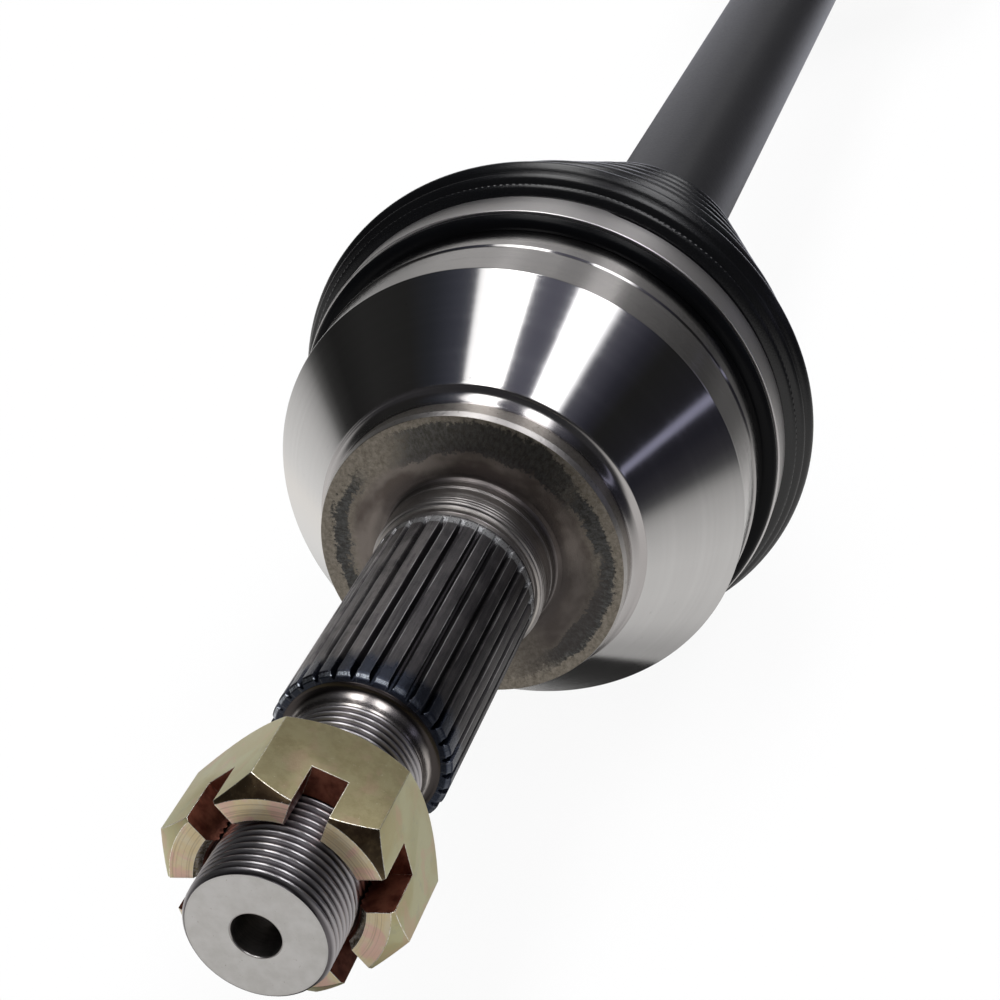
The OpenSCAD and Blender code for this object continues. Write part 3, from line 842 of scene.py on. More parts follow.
def build_stub_spline():
    """Splined bar with a bevelled front and a hob's ramp rising to the collar."""
    start, end = -64.9, -11.9
    root, tip, crown_height = 14.4, 15.9, 0.05
    land, foot = 0.31, 0.445
    bevel, bevel_slope = 0.85, 1.05
    ramp_start, ramp_end = -14.9, -12.2

    half = (land * 0.6, land - 0.006, land + 0.012, (foot + land) / 2, foot - 0.012, foot, 0.46)
    stations = {round(start + bevel * k / 7, 4) for k in range(8)}
    stations.add(start + bevel + 0.12)
    for run in (np.arange(start + bevel + 1.5, end - 6.2, 3.0), np.linspace(end - 5.9, end, 19)):
        stations.update(round(float(x), 4) for x in run)

    def cut_teeth(x, radius, phi):
        offset = tooth_offset(phi, STUB_TEETH)
        height = tooth_height(offset, land, foot)
        crown = crown_height * (1 - np.clip(offset / land, 0, 1) ** 2)
        cut = root + (tip - crown_height - root) * height + np.where(height >= 1, crown, 0)
        rise = np.clip((x - ramp_start) / (ramp_end - ramp_start), 0, 1) ** 1.25
        cut = np.maximum(cut, root + (tip - root) * rise)
        cut = np.minimum(cut, tip - bevel * bevel_slope + (x - start) * bevel_slope)
        return x, np.where(radius > root - 1, cut, radius)

    spline = lathe("stub_spline", spline_rows(sorted(stations), root - 3.0, tip),
                   tooth_angles(STUB_TEETH, half), cut_teeth, sharp=24)
    paint(spline, [SPLINE])
    finish_piece(spline, "outboard_bell", "outboard_bell")


build_stub_spline()

# --------------------------------------------------------------- outboard bell
JOINT_X = 38.0
TRACK_ORBIT, TRACK_RADIUS, TRACK_LIMIT = 31.5, 9.2, 44.5
# (x, radius, corner radius): collar, seat face at x = 0, rim
COLLAR_AND_RIM = [
    (-12.3, 0), (-12.3, 15.0), (-11.9, 15.25), (-9.75, 15.25, 0.15), (-9.75, 15.9, 0.08),
    (-9.45, 16.3, 0.08), (-9.1, 16.35), (-8.95, 16.68), (-8.6, 16.72), (-8.5, 16.8),
    (-7.9, 16.8), (-7.8, 16.73), (-7.7, 16.8), (-7.2, 16.8), (-7.1, 16.75), (-7.0, 16.8),
    (-3.4, 16.8), (-3.3, 16.74), (-3.2, 16.8), (-2.9, 16.8), (-2.8, 16.74), (-2.7, 16.82),
    (0, 16.82, 2.5), (0, 29.95, 0.12), (1.35, 30.38, 0.15), (1.65, 30.3), (4.6, 30.2, 0.3)]
ROUND_GROOVE = [(5.2 + 2.7 * math.sin(a), 32.75 - 2.7 * math.cos(a))
                for a in np.radians(np.linspace(0, 84, 15))]
CONE_AND_DRUM = [
    (8.0, 32.76, 0.1), (8.3, 32.62, 0.1), (8.65, 32.86, 0.1), (27.08, 48.0, 0.6),
    (37.95, 48.0, 0.1), (38.35, 48.3, 0.1), (45.7, 48.3, 0.15), (46.1, 47.9, 0.1),
    (57.2, 47.9, 0.3), (58, 47.1, 0.3)]


def track_angle(phi, k):
    """Angle from the middle of ball track k."""
    return wrap(phi - math.radians(30 + 60 * k))


def build_bell():
    outside = add_rows(round_corners(COLLAR_AND_RIM + ROUND_GROOVE + CONE_AND_DRUM), 2.2, 0.14)
    mouth = [(58, 46.9), (58, 42), (58, 38.2), (57.7, 37.82)]
    inside = [(x, 31.4 + (x - 47) * 0.6) for x in (56, 53, 50, 48.5)]
    inside += [(JOINT_X + 33.6 * math.cos(a), 33.6 * math.sin(a))
               for a in np.radians(np.linspace(70.5, 149.6, 26))]
    back = [(9.0, 16.97), (9.0, 14), (9.0, 9), (9.0, 4), (9.0, 0)]
    first = len(outside) + len(mouth)
    rows = slice(first, first + len(inside))

    def cut_tracks(x, radius, phi):
        radius = radius.copy()
        along, deepest = x[rows] - JOINT_X, radius[rows].copy()
        for k in range(6):
            turn = track_angle(phi[rows], k)
            cosine, sine = np.cos(turn), np.sin(turn)
            # the track is part of a torus about the joint's centre, met by iteration
            reach = np.full_like(deepest, 38.0)
            for _ in range(30):
                across = np.clip(TRACK_RADIUS ** 2 - (reach * sine) ** 2, 0, None)
                swept = (TRACK_ORBIT + np.sqrt(across)) ** 2 - along ** 2
                reach = np.sqrt(np.clip(swept, 1, None)) / cosine
            cut = (np.abs(turn) < 0.5) & (np.abs(reach * sine) < TRACK_RADIUS)
            cut &= np.degrees(np.arctan2(along, reach * cosine)) > -40
            deepest = np.where(cut, np.maximum(deepest, np.minimum(reach, TRACK_LIMIT)), deepest)
        radius[rows] = deepest
        return x, radius

    def pick(faces):
        """The first zone that holds a face gives its slot."""
        x, radius = faces.x, faces.radius
        inner = (x > 8.9) & ((faces.outward < -0.02) | (radius < 31))
        inner |= (x > 57.5) & (faces.normal[:, 0] > 0.5)
        zones = [
            (inner, 6), (x >= 27.3, 5), (x >= 8.45, 4), ((x < -0.35) & (radius < 19.4), 0),
            ((x < 0.06) & (radius > 16.9), 1), (x < 5.0, 2), (x < 8.45, 3)]
        return np.select([mask for mask, _ in zones], [slot for _, slot in zones])

    bell = lathe("bell_body", outside + mouth + inside + back, even_angles(288), cut_tracks,
                 sharp=30)
    paint(bell, [COLLAR, SEAT, RIM, GROOVE, CONE, DRUM, JOINT_BORE], pick)
    finish_piece(bell, "outboard_bell", "outboard_bell")


build_bell()

# ------------------------------------------------------------------ castle nut
NUT_START, NUT_END = -102.1, -81.9
NUT_TURN = 27.0
ACROSS_FLATS = 36.0
SLOT_DEPTH, SLOT_HALF_WIDTH = 9.2, 3.0
NUT_BORE = 12.06


def bake_modifiers(ob):
    """Applies the modifiers and returns the mesh from before."""
    depsgraph = bpy.context.evaluated_depsgraph_get()
    baked = bpy.data.meshes.new_from_object(ob.evaluated_get(depsgraph))
    ob.modifiers.clear()
    old = ob.data
    ob.data = baked
    return old


def boolean(ob, tool, operation):
    modifier = ob.modifiers.new("b", "BOOLEAN")
    modifier.operation, modifier.object, modifier.solver = operation, tool, "EXACT"
    bpy.data.meshes.remove(bake_modifiers(ob))
    bpy.data.objects.remove(tool)


def nut_blank():
    corner = ACROSS_FLATS / 2 / math.cos(math.pi / 6)
    points = []
    for x in (NUT_START, NUT_END):
        for k in range(6):
            a = math.radians(NUT_TURN + 30 + 60 * k)
            points.append((x, -corner * math.sin(a), corner * math.cos(a)))
    ends = np.array([range(6), range(11, 5, -1)])
    sides = np.array([(k, k + 6, (k + 1) % 6 + 6, (k + 1) % 6) for k in range(6)])
    return closed_mesh("castle_nut_zinc", np.array(points), [ends, sides])


def slot_tool(azimuth):
    """Slab across the nut that cuts two facing slots."""
    a = math.radians(azimuth)
    out = np.array([0, -math.sin(a), math.cos(a)])
    across = np.array([0, -math.cos(a), -math.sin(a)])
    points = [np.array([x, 0, 0]) + out * i * 30.0 + across * k * SLOT_HALF_WIDTH
              for x in (NUT_START - 1, NUT_START + SLOT_DEPTH) for i in (-1, 1) for k in (-1, 1)]
    faces = [(0, 1, 3, 2), (4, 6, 7, 5), (0, 4, 5, 1), (2, 3, 7, 6), (0, 2, 6, 4), (1, 5, 7, 3)]
    return closed_mesh("cut", np.array(points), [np.array(faces)])


def bore_tool():
    """Threaded rod, widened at both ends for the bore's chamfers."""
    wall = 12.25

    def shape(x, radius, phi):
        cut = NUT_BORE + 0.5 * thread_wave(x, phi)
        cut = np.maximum(cut, NUT_BORE + np.clip(NUT_START + 1.9 - x, 0, None) * 0.95)
        cut = np.maximum(cut, NUT_BORE + np.clip(x - (NUT_END - 1.2), 0, None) * 0.95)
        return x, np.where((radius > 12.2) & (radius < 12.3), cut, radius)

    rows = [(NUT_START - 1, 0), (NUT_START - 1, wall)]
    rows += [(x, wall) for x in np.arange(NUT_START - 0.9, NUT_END + 0.95, 0.25)]
    rows += [(NUT_END + 1, wall), (NUT_END + 1, 0)]
    return lathe("cut", rows, even_angles(96), shape)


def pick_nut(faces):
    x, radius, normal = faces.x, faces.radius, faces.normal
    azimuth = np.arctan2(-faces.centre[:, 1], faces.centre[:, 2])
    from_slot = np.full(len(x), 99.0)
    for k in range(6):
        turn = azimuth - math.radians(NUT_TURN + 60 * k)
        closer = np.minimum(from_slot, np.abs(radius * np.sin(turn)))
        from_slot = np.where(np.cos(turn) > 0, closer, from_slot)
    slot = (from_slot < SLOT_HALF_WIDTH + 0.04) & (x < NUT_START + 9.26)
    slot &= (x > NUT_START + 0.35) & (radius < 17.6)
    bore = (radius < 12.7) & (faces.outward < 0.2)
    # the rounded edges: faces that look along none of the plain directions
    plain = np.abs(normal[:, 0]) > 0.985
    plain |= (np.abs(normal[:, 0] + 0.777) < 0.07) | (np.abs(normal[:, 0] - 0.726) < 0.07)
    for k in range(12):
        a = math.radians(NUT_TURN + 30 * k)
        plain |= (-normal[:, 1] * math.sin(a) + normal[:, 2] * math.cos(a)) > 0.985
    return np.where(~plain & (radius > 12.9), 2, np.where(slot | bore, 1, 0))


def build_nut():
    nut = nut_blank()
    corners = [(NUT_START, 0), (NUT_START, 17.7), (NUT_START + 3.0, 21.4),
               (NUT_END - 3.6, 21.4), (NUT_END, 17.6), (NUT_END, 0)]
    boolean(nut, lathe("cut", corners, even_angles(120) + 0.013), "INTERSECT")
    for k in range(3):
        boolean(nut, slot_tool(NUT_TURN + 60 * k), "DIFFERENCE")
    bevel = nut.modifiers.new("bev", "BEVEL")
    bevel.width, bevel.segments = 0.42 * MM, 3
    bevel.limit_method, bevel.angle_limit = "ANGLE", math.radians(24)
    bake_modifiers(nut)
    boolean(nut, bore_tool(), "DIFFERENCE")
    points = np.zeros(len(nut.data.vertices) * 3)
    nut.data.vertices.foreach_get("co", points)
    shade(nut.data, points / MM, sharp=22)
    paint(nut, [ZINC, ZINC_SLOT, ZINC_EDGE], pick_nut)
    finish_piece(nut, "castle_nut", "castle_nut")


build_nut()

# ----------------------------------------------------------------------- boots
BOOT_WALL = 2.2
SHAFT_BORE = 15.55
# (x, radius) along the outside
OUTBOARD_LIP = [(46.4, 48.4), (46.4, 49.4), (46.75, 50.3), (47.4, 50.85), (48.0, 50.9),
                (48.35, 50.7), (48.5, OUTBOARD_CUFF)]
OUTBOARD_FOLDS = [
    (56.9, 50.6), (57.0, 51.2), (57.35, 52.3), (57.8, 53.1), (58.25, 53.35), (58.7, 52.95),
    (59.05, 52.75), (59.45, 53.5), (59.95, 54.4), (60.5, 54.7), (61.15, 54.2), (61.7, 53.85),
    (62.2, 54.4), (62.8, 55.3), (63.6, 55.85), (64.6, 55.8), (66.0, 54.7), (67.8, 52.3),
    (69.6, 50.0), (71.6, 48.4), (73.6, 47.5), (76.2, 47.9), (78.8, 49.8), (80.6, 50.2),
    (82.6, 49.2), (85.6, 45.2), (88.1, 42.0), (90.0, 41.7), (92.6, 43.1), (95.0, 44.5),
    (97.2, 44.0), (99.8, 40.4), (102.2, 37.0), (104.2, 36.4), (106.8, 38.0), (109.2, 39.4),
    (111.3, 38.8), (113.8, 35.0), (116.2, 31.9), (118.2, 31.4), (120.6, 33.0), (123.0, 34.4),
    (125.1, 33.8), (127.6, 29.8), (129.8, 26.9), (131.8, 26.5), (134.2, 28.2), (136.4, 29.6),
    (138.4, 28.8), (140.8, 24.6), (143.2, 20.8), (145.4, 19.0), (147.6, 18.6)]
OUTBOARD_TAIL = [(150.2, 18.6), (150.6, SHAFT_CUFF), (159.6, SHAFT_CUFF), (160, 18.6),
                 (161.6, 18.5), (162, 18.2)]
INBOARD_LARGE_CUFF = [
    (494, 42.05), (494, 43.6), (493.8, 44.6), (493.2, 45.2), (491.2, 45.2), (490.9, 44.65),
    (490.6, INBOARD_CUFF), (486, INBOARD_CUFF)]
# the inboard folds run towards -X, in two pieces that meet at x = 455
INBOARD_LARGE_FOLDS = [
    (481.6, 44.6), (481.3, 45.3), (480.4, 45.8), (478, 46.2), (474.8, 47.4), (471, 48.35),
    (468.4, 47.8), (465.9, 44.6), (463.4, 38.6), (461.6, 37.3), (459.8, 38.4), (457.8, 42.2),
    (456.2, 43.4), (455.0, 43.6)]
INBOARD_SMALL_FOLDS = [
    (455.0, 43.6), (453.8, 43.2), (451.8, 39.8), (449.8, 36.0), (448.0, 35.3), (446.2, 36.0),
    (444.2, 38.0), (442.4, 38.9), (440.4, 38.5), (438.2, 34.0), (436.2, 29.4), (434.4, 28.3),
    (432.6, 29.2), (430.8, 32.6), (429.0, 34.1), (427.0, 33.7), (424.9, 29.0), (423.0, 24.7),
    (421.4, 23.5), (419.8, 24.6), (418.2, 27.8), (416.6, 29.3), (414.8, 28.9), (412.8, 25.2),
    (410.6, 21.4), (408.2, 19.3), (405.6, 18.7)]
INBOARD_TAIL = [
    (404, 18.6), (403.6, SHAFT_CUFF), (398, SHAFT_CUFF), (394.6, SHAFT_CUFF), (394.2, 18.6),
    (392.5, 18.6), (392, 18.2)]


def inner_wall(path, low, high):
    """The path, which runs towards +X, moved in by the wall and kept between two x."""
    path = np.array(path)
    tangent = np.gradient(path, axis=0)
    tangent /= np.linalg.norm(tangent, axis=1)[:, None]
    inwards = np.stack([tangent[:, 1], -tangent[:, 0]], 1)
    moved = path + inwards * BOOT_WALL
    keep = [0]
    for i in range(1, len(moved)):          # drop loops where the offset folds back
        if moved[i, 0] > moved[keep[-1], 0] + 0.05:
            keep.append(i)
    return [tuple(point) for point in moved[keep] if low < point[0] < high]


def finish_boot(ob, replaced):
    """Paints the boot rubber, bakes its transform into the mesh and hides the CAD boot it
    replaces.
    """
    paint(ob, [RUBBER])
    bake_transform(ob)
    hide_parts(replaced)


def wavy_lip(x, radius, phi):
    lip = (x > 46.3) & (x < 48.6) & (radius > 50.2)
    return x, np.where(lip, radius + 0.03 * np.sin(phi * 7 + 1.3), radius)


def build_outboard_boot():
    folds = smooth_curve(OUTBOARD_FOLDS)
    seat = add_rows([(48.6, OUTBOARD_CUFF), (56.8, OUTBOARD_CUFF)], 2.0)
    inside = [(162, SHAFT_BORE), (155, SHAFT_BORE), (146.2, SHAFT_BORE), (146.0, 16.2)]
    inside += inner_wall(folds, 59.6, 145.5)[::-1]
    inside += [(58.9, 51.0), (58.6, 48.6), (58.5, 47.97), (54, 47.97), (50, 47.97),
               (46.6, 47.97), (46.4, 48.1)]
    boot = lathe("outboard_boot_rubber", OUTBOARD_LIP + seat + folds + OUTBOARD_TAIL + inside,
                 even_angles(420), wavy_lip, sharp=46)
    finish_boot(boot, "outboard_boot")


def build_inboard_boot():
    joint = (455.0, 41.4)
    folds = smooth_curve(INBOARD_LARGE_FOLDS)
    outline = INBOARD_LARGE_CUFF + folds + [joint] + inner_wall(folds[::-1], 455.25, 476.0)
    outline += [(477.0, 43.2), (477.4, 42.05), (482, 42.05), (488, 42.05)]
    large = lathe("inboard_boot_rubber_large", outline, even_angles(300), sharp=46,
                  shift=INBOARD_SHIFT)
    finish_boot(large,
                "inboard_boot")

    folds = smooth_curve(INBOARD_SMALL_FOLDS)
    outline = folds + INBOARD_TAIL
    outline += [(392, SHAFT_BORE), (398, SHAFT_BORE), (404.6, SHAFT_BORE), (405.2, 16.1)]
    outline += inner_wall(folds[::-1], 406.5, 454.75) + [joint]
    small = lathe("inboard_boot_rubber_small", outline, even_angles(260), sharp=46,
                  shift=INBOARD_SHIFT)
    finish_boot(small,
                "inboard_boot")


build_outboard_boot()
build_inboard_boot()

# ---------------------------------------------------------------------- clamps
# Band thickness, the ear's azimuth, width and height, and where the outer end's lap
# ends and starts, in degrees from the ear
LARGE_CLAMP = dict(thick=1.15, ear=195, ear_width=8.4, ear_height=3.9, lap=(95, 3))
SMALL_CLAMP = dict(thick=1.1, ear=120, ear_width=7.6, ear_height=3.7, lap=(110, 8))


def clamp(name, x0, x1, inner, thick, ear, ear_width, ear_height, lap, narrow=None, shift=0.0):
    """Flat band with a crimped ear, an overlapping outer end and two hooks.

    narrow is (start azimuth, end azimuth, amount trimmed from the +X edge).
    """
    ear_angle = math.radians(ear)
    outer = inner + thick
    half_angle = ear_width / 2 / outer
    lap_end, lap_start = lap
    hooks = (lap_end * 0.35, lap_end * 0.62)
    middle, half_width = (x0 + x1) / 2, (x1 - x0) / 2

    turns = set(np.round(np.linspace(-math.pi, math.pi, 241)[:-1], 6))
    turns |= set(np.round(np.linspace(-half_angle * 1.5, half_angle * 1.5, 61), 6))
    for edge in lap:
        turns |= {round(math.radians(edge) + d, 6) for d in (-0.004, -0.002, 0, 0.002, 0.004)}
    for hook in hooks:
        turns |= {round(math.radians(hook) + d / outer, 6) for d in np.linspace(-1.7, 1.7, 9)}

    section = [(x0, inner), (x0, outer, 0.22), (x1, outer, 0.22), (x1, inner)]
    section = add_rows(round_corners(section, segments=3), 0.8, 0.1)
    section += [(x1 - 0.3, inner), (middle, inner), (x0 + 0.3, inner)]

    def shape(x, radius, phi):
        turn = wrap(phi - ear_angle)
        along = np.abs(turn) * outer
        half_ear = ear_width / 2
        rise = 1 - smooth_step(along, half_ear - 0.95, half_ear + 0.1)
        dent = 0.55 * np.exp(-(along / (half_ear * 0.42)) ** 2)
        across = (x - middle) / half_width
        outside = radius > inner + 0.02
        pinch = 1 - 0.10 * rise * (1 - smooth_step(along, half_ear * 0.2, half_ear))
        new_x = middle + (x - middle) * pinch
        new_radius = radius + rise * (ear_height - thick) * (1 - dent * 0.45)
        lapped = window(turn, math.radians(lap_start), math.radians(lap_end), 0.001)
        new_radius -= np.where(outside, 0.45 * thick * (1 - lapped) * (1 - rise), 0)
        for hook in hooks:
            near = 1 - smooth_step(np.abs(turn - math.radians(hook)) * outer, 0.9, 1.3)
            near = near * (1 - smooth_step(np.abs(across), 0.36, 0.46))
            new_radius += np.where(outside, 0.55 * near, 0)
        if narrow is not None:
            start, end, amount = narrow
            azimuth = (np.degrees(phi) + 180) % 360 - 180
            new_x -= np.clip(across, 0, 1) * amount * window(azimuth, start, end, 0.6)
        return new_x, new_radius

    band = lathe(name, section, np.array(sorted(turns)) + ear_angle, shape, 34, shift)
    paint(band, [BAND])
    return band


# name, x0, x1, radius under the clamp, body it rides on, CAD piece, other settings
CLAMPS = [
    ("outboard_large_band", 48.7, 56.6, OUTBOARD_CUFF, "outboard_bell",
     "outboard_large_clamp", dict(LARGE_CLAMP, narrow=(24, 178, 0.75))),
    ("outboard_small_band", 151.0, 159.2, SHAFT_CUFF, "axle_shaft",
     "outboard_small_clamp", SMALL_CLAMP),
    ("inboard_large_band", 482.3, 490.3, INBOARD_CUFF, "inboard_housing",
     "inboard_large_clamp", dict(LARGE_CLAMP, shift=INBOARD_SHIFT)),
    ("inboard_small_band", 395.0, 403.0, SHAFT_CUFF, "axle_shaft",
     "inboard_small_clamp", dict(SMALL_CLAMP, shift=INBOARD_SHIFT))]
for name, x0, x1, cuff, body, replaced, settings in CLAMPS:
    band = clamp(name, x0, x1, cuff + CLAMP_GAP, **settings)
    finish_piece(band, body, replaced)

# ----------------------------------------------------------------------- shaft
NECK_RADIUS, BAR_RADIUS = 13.4, 15.5
SHAFT_TEETH, SHAFT_TIP, SHAFT_ROOT = 26, 12.7, 11.9
SHAFT_BEVEL = 0.9


def build_bar():
    outline = [(50.5, 0), (50.5, 12.9), (51.1, NECK_RADIUS, 0.1), (133, NECK_RADIUS, 14),
               (141, BAR_RADIUS, 14)]
    outline += [(x + INBOARD_SHIFT, *rest) for x, *rest in (
        (409, BAR_RADIUS, 14), (417, NECK_RADIUS, 14), (499.3, NECK_RADIUS, 0.1),
        (499.94, 12.9), (499.94, 0))]
    bar = lathe("bar_shaft", add_rows(round_corners(outline, segments=8), 9, 0.3),
                even_angles(200))
    paint(bar, [PAINT])
    finish_piece(bar, "axle_shaft", "axle_shaft")


def build_shaft_spline(name, start, end, bevel_start, groove, shift):
    """Splined shaft end with a ring groove, bevelled at its free end."""
    low, high = groove
    insets = (0, 0.3, 0.6, 0.9)
    stations = {start + inset for inset in insets} | {end - inset for inset in insets}
    stations |= {low, low + 0.02, high - 0.02, high}
    stations |= set(np.arange(start + 1.2, end - 1.0, 2.5))

    def cut_teeth(x, radius, phi):
        height = tooth_height(tooth_offset(phi, SHAFT_TEETH), 0.28, 0.36)
        cut = SHAFT_ROOT + 0.8 * height
        cut = np.minimum(cut, SHAFT_TIP - SHAFT_BEVEL + (x - start if bevel_start else end - x))
        cut = np.where((x > low + 0.01) & (x < high - 0.01), 11.36, cut)
        return x, np.where(radius > 10, cut, radius)

    spline = lathe(name, spline_rows(sorted(stations), 9, SHAFT_TIP),
                   tooth_angles(SHAFT_TEETH, (0.27, 0.28, 0.36, 0.37)), cut_teeth, 24, shift)
    paint(spline, [SPLINE])
    finish_piece(spline, "axle_shaft", "axle_shaft")


build_bar()
build_shaft_spline("shaft_spline_outboard", 20.5, 50.8, bevel_start=True,
                   groove=(23.05, 24.95), shift=0.0)
build_shaft_spline("shaft_spline_inboard", 499.6, 528.5, bevel_start=False,
                   groove=(524.05, 525.95), shift=INBOARD_SHIFT)

# ------------------------------------------------------------- inboard housing
# (x, radius, corner radius) along the outside
HOUSING_OUTSIDE = [
    (478, 35.4), (478, 41.2), (478.8, 42, 0.3), (495.2, 42, 0.3), (495.8, 43, 0.3),
    (501, 43, 0.3), (501.6, 42.4, 0.3), (548.6, 42.7, 2.2), (551.6, 41.6, 1.5), (560, 34, 3),
    (566, 24, 3), (567.6, 20.5, 1.2), (568.2, 17.5, 0.6), (599.2, 17.5, 0.5),
    (601, 16.4, 0.3), (601, 14.6, 0.2), (602, 12.8, 0.2), (603, 12.8), (603, 0)]
HOUSING_FLOOR = [(548.8, 0), (549.6, 12), (549.9, 22), (549.9, 30.9)]
HOUSING_BORE = 31.7
BALL_ORBIT, BALL_TRACK = 29, 8.2


def build_housing():
    bore = [(x, HOUSING_BORE) for x in np.arange(549, 486, -3.0)]
    bore += [(484.15, HOUSING_BORE), (484.1, 32.85), (481.95, 32.85), (481.9, HOUSING_BORE)]
    bore += [(481.5, HOUSING_BORE), (480.2, 33.0), (478.6, 34.8)]
    rows = slice(len(HOUSING_FLOOR), len(HOUSING_FLOOR) + len(bore))

    def cut_tracks(x, radius, phi):
        radius = radius.copy()
        deepest = radius[rows].copy()
        for k in range(6):
            turn = track_angle(phi[rows], k)
            across = np.abs(BALL_ORBIT * np.sin(turn))
            depth = np.sqrt(np.clip(BALL_TRACK ** 2 - across ** 2, 0, None))
            reach = BALL_ORBIT * np.cos(turn) + depth
            cut = (across < BALL_TRACK) & (np.abs(turn) < 0.5) & (x[rows] < 545.5)
            deepest = np.where(cut, np.maximum(deepest, reach), deepest)
        radius[rows] = deepest
        return x, radius

    outside = add_rows(round_corners(HOUSING_OUTSIDE), 3.0, 0.16)
    housing = lathe("inboard_housing_cup", HOUSING_FLOOR + bore + outside, even_angles(264),
                    cut_tracks, sharp=30, shift=INBOARD_SHIFT)
    paint(housing, [HOUSING, JOINT_BORE], lambda faces: np.where(
        (faces.x < 550.5) & ((faces.outward < -0.02) | (faces.radius < 34.5)), 1, 0),
        shift=INBOARD_SHIFT)
    finish_piece(housing, "inboard_housing", "inboard_housing")


def build_inboard_stub():
    """Splined stub with a run-out at the housing and a ring groove near its end."""
    teeth, root, depth, tip = 27, 12.9, 1.35, 14.3
    stations = {602.0, 602.3, 603, 604, 606, 648.8, 649.1, 649.4, 649.7, 650.0,
                640.9, 640.92, 643.08, 643.1}
    stations |= set(np.arange(608, 648, 2.5)) | set(np.arange(602, 607, 0.4).round(3))

    def cut_teeth(x, radius, phi):
        cut = root + depth * tooth_height(tooth_offset(phi, teeth), 0.25, 0.40)
        cut = np.maximum(cut, root + depth * np.clip((606.5 - x) / 4.5, 0, 1) ** 1.3)
        cut = np.minimum(cut, tip - 1.2 + (650 - x))
        cut = np.where((x > 640.91) & (x < 643.09), 12.22, cut)
        return x, np.where(radius > 11, cut, radius)

    half = (0.12, 0.25, 0.26, 0.32, 0.39, 0.40, 0.45)
    stub = lathe("inboard_stub_spline", spline_rows(sorted(stations), 10, tip),
                 tooth_angles(teeth, half), cut_teeth, 24, INBOARD_SHIFT)
    paint(stub, [SPLINE])
    finish_piece(stub, "inboard_housing", "inboard_housing")


build_housing()
build_inboard_stub()

# ------------------------------------------------------- CAD pieces still shown
BALL = cad_metal("ground_ball_steel", (0.70, 0.70, 0.71), (0.80, 0.80, 0.80),
                 rough=(0.05, 0.10), scale=0.4, depth=0.002)
CAGE = cad_metal("phosphated_cage", (0.10, 0.095, 0.09), (0.22, 0.21, 0.20),
                 rough=(0.34, 0.5), speck=(0.06, 0.055, 0.05))
RACE = cad_metal("ground_race_steel", (0.36, 0.355, 0.36), (0.55, 0.54, 0.535),
                 rough=(0.2, 0.32), speck=(0.2, 0.19, 0.185))
CLIP = cad_metal("oiled_spring_steel", (0.05, 0.05, 0.055), (0.13, 0.125, 0.125),
                 rough=(0.26, 0.4), speck=(0.2, 0.19, 0.18), scale=0.5)
for name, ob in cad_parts.items():
    if ob.hide_render:
        continue
    matches = (("ball", BALL), ("cage", CAGE), ("inner_race", RACE))
    material = next((metal for word, metal in matches if word in name), CLIP)
    ob.data.materials.clear()
    ob.data.materials.append(material)
    ob.data.polygons.foreach_set("use_smooth", np.ones(len(ob.data.polygons), bool))


# ----------------------------------------------------------------------- floor
def build_floor():
    material = bpy.data.materials.new("pale_floor")
    nodes = Nodes(material)
    # clear enough that the axle shows through it where it swings below
    clear = nodes.node("BsdfTransparent", {"Color": (0.93, 0.93, 0.93)})
    grey = nodes.node("BsdfDiffuse", {"Color": (0.10, 0.10, 0.10)})
    nodes.node("OutputMaterial", {0: nodes.node("AddShader", {0: clear, 1: grey})})
    disc = bmesh.new()
    bmesh.ops.create_circle(disc, cap_ends=True, segments=96, radius=14)
    mesh = bpy.data.meshes.new("floor")
    disc.to_mesh(mesh)
    disc.free()
    floor = bpy.data.objects.new("floor", mesh)
    floor.location = (0.25, 0, cad_lo[2] - 0.0008)
    bpy.context.scene.collection.objects.link(floor)
    mesh.materials.append(material)
    floor.visible_glossy = False
    floor.visible_diffuse = False
    floor.visible_transmission = False


build_floor()

# ------------------------------------------------------ studio light, as a world
# Brightness by direction about the axle: (azimuth in degrees, grey or colour)
SIDE = [
    (-180, 0.02), (-160, 0.04), (-146, 0.50), (-132, 0.82), (-118, (0.89, 0.865, 0.83)),
    (-111, 0.80), (-105, 0.74), (-97, 0.63), (-92, 0.50), (-88, 0.34), (-84, 0.10),
    (-80, 0.03), (-73, 0.016), (-60, 0.024), (-42, 0.019), (-32, (0.024, 0.026, 0.032)),
    (-22, (0.045, 0.048, 0.064)), (2, (0.10, 0.10, 0.13)), (22, (0.09, 0.09, 0.12)),
    (44, (0.06, 0.06, 0.08)), (52, (0.026, 0.026, 0.036)), (60, 0.015),
    (92, (0.017, 0.017, 0.023)), (101, (0.035, 0.034, 0.04)), (106, (0.08, 0.08, 0.083)),
    (112, 0.36), (117, 0.48), (126, 0.585), (136, 0.655), (150, 0.66), (162, 0.60),
    (174, 0.40)]
SLANTED = [
    (-180, 0.30), (-150, 0.50), (-128, 0.72), (-100, 0.62), (-84, 0.46), (-60, 0.33),
    (-34, 0.24), (-8, 0.15), (16, 0.10), (66, 0.11), (100, 0.13), (116, 0.22), (130, 0.46),
    (145, 0.62), (165, 0.60)]
# beyond the axle: a grey backdrop with two soft streaks
BACKDROP = [
    (-180, 0.60), (-150, 0.45), (-126, 0.36), (-106, 0.30), (-85, 0.31), (-64, 0.385),
    (-42, 0.43), (-34, 0.45), (-29, 0.58), (-25, 0.82), (-20, 0.74), (-14, 0.47), (-9, 0.37),
    (0, 0.34), (9, 0.29), (14, 0.34), (18, 0.64), (22, 0.92), (31, 0.95), (35, 0.45),
    (40, 0.21), (48, 0.125), (56, 0.09), (70, 0.056), (94, 0.042), (116, 0.055), (126, 0.13),
    (137, 0.31), (157, 0.59), (172, 0.80)]
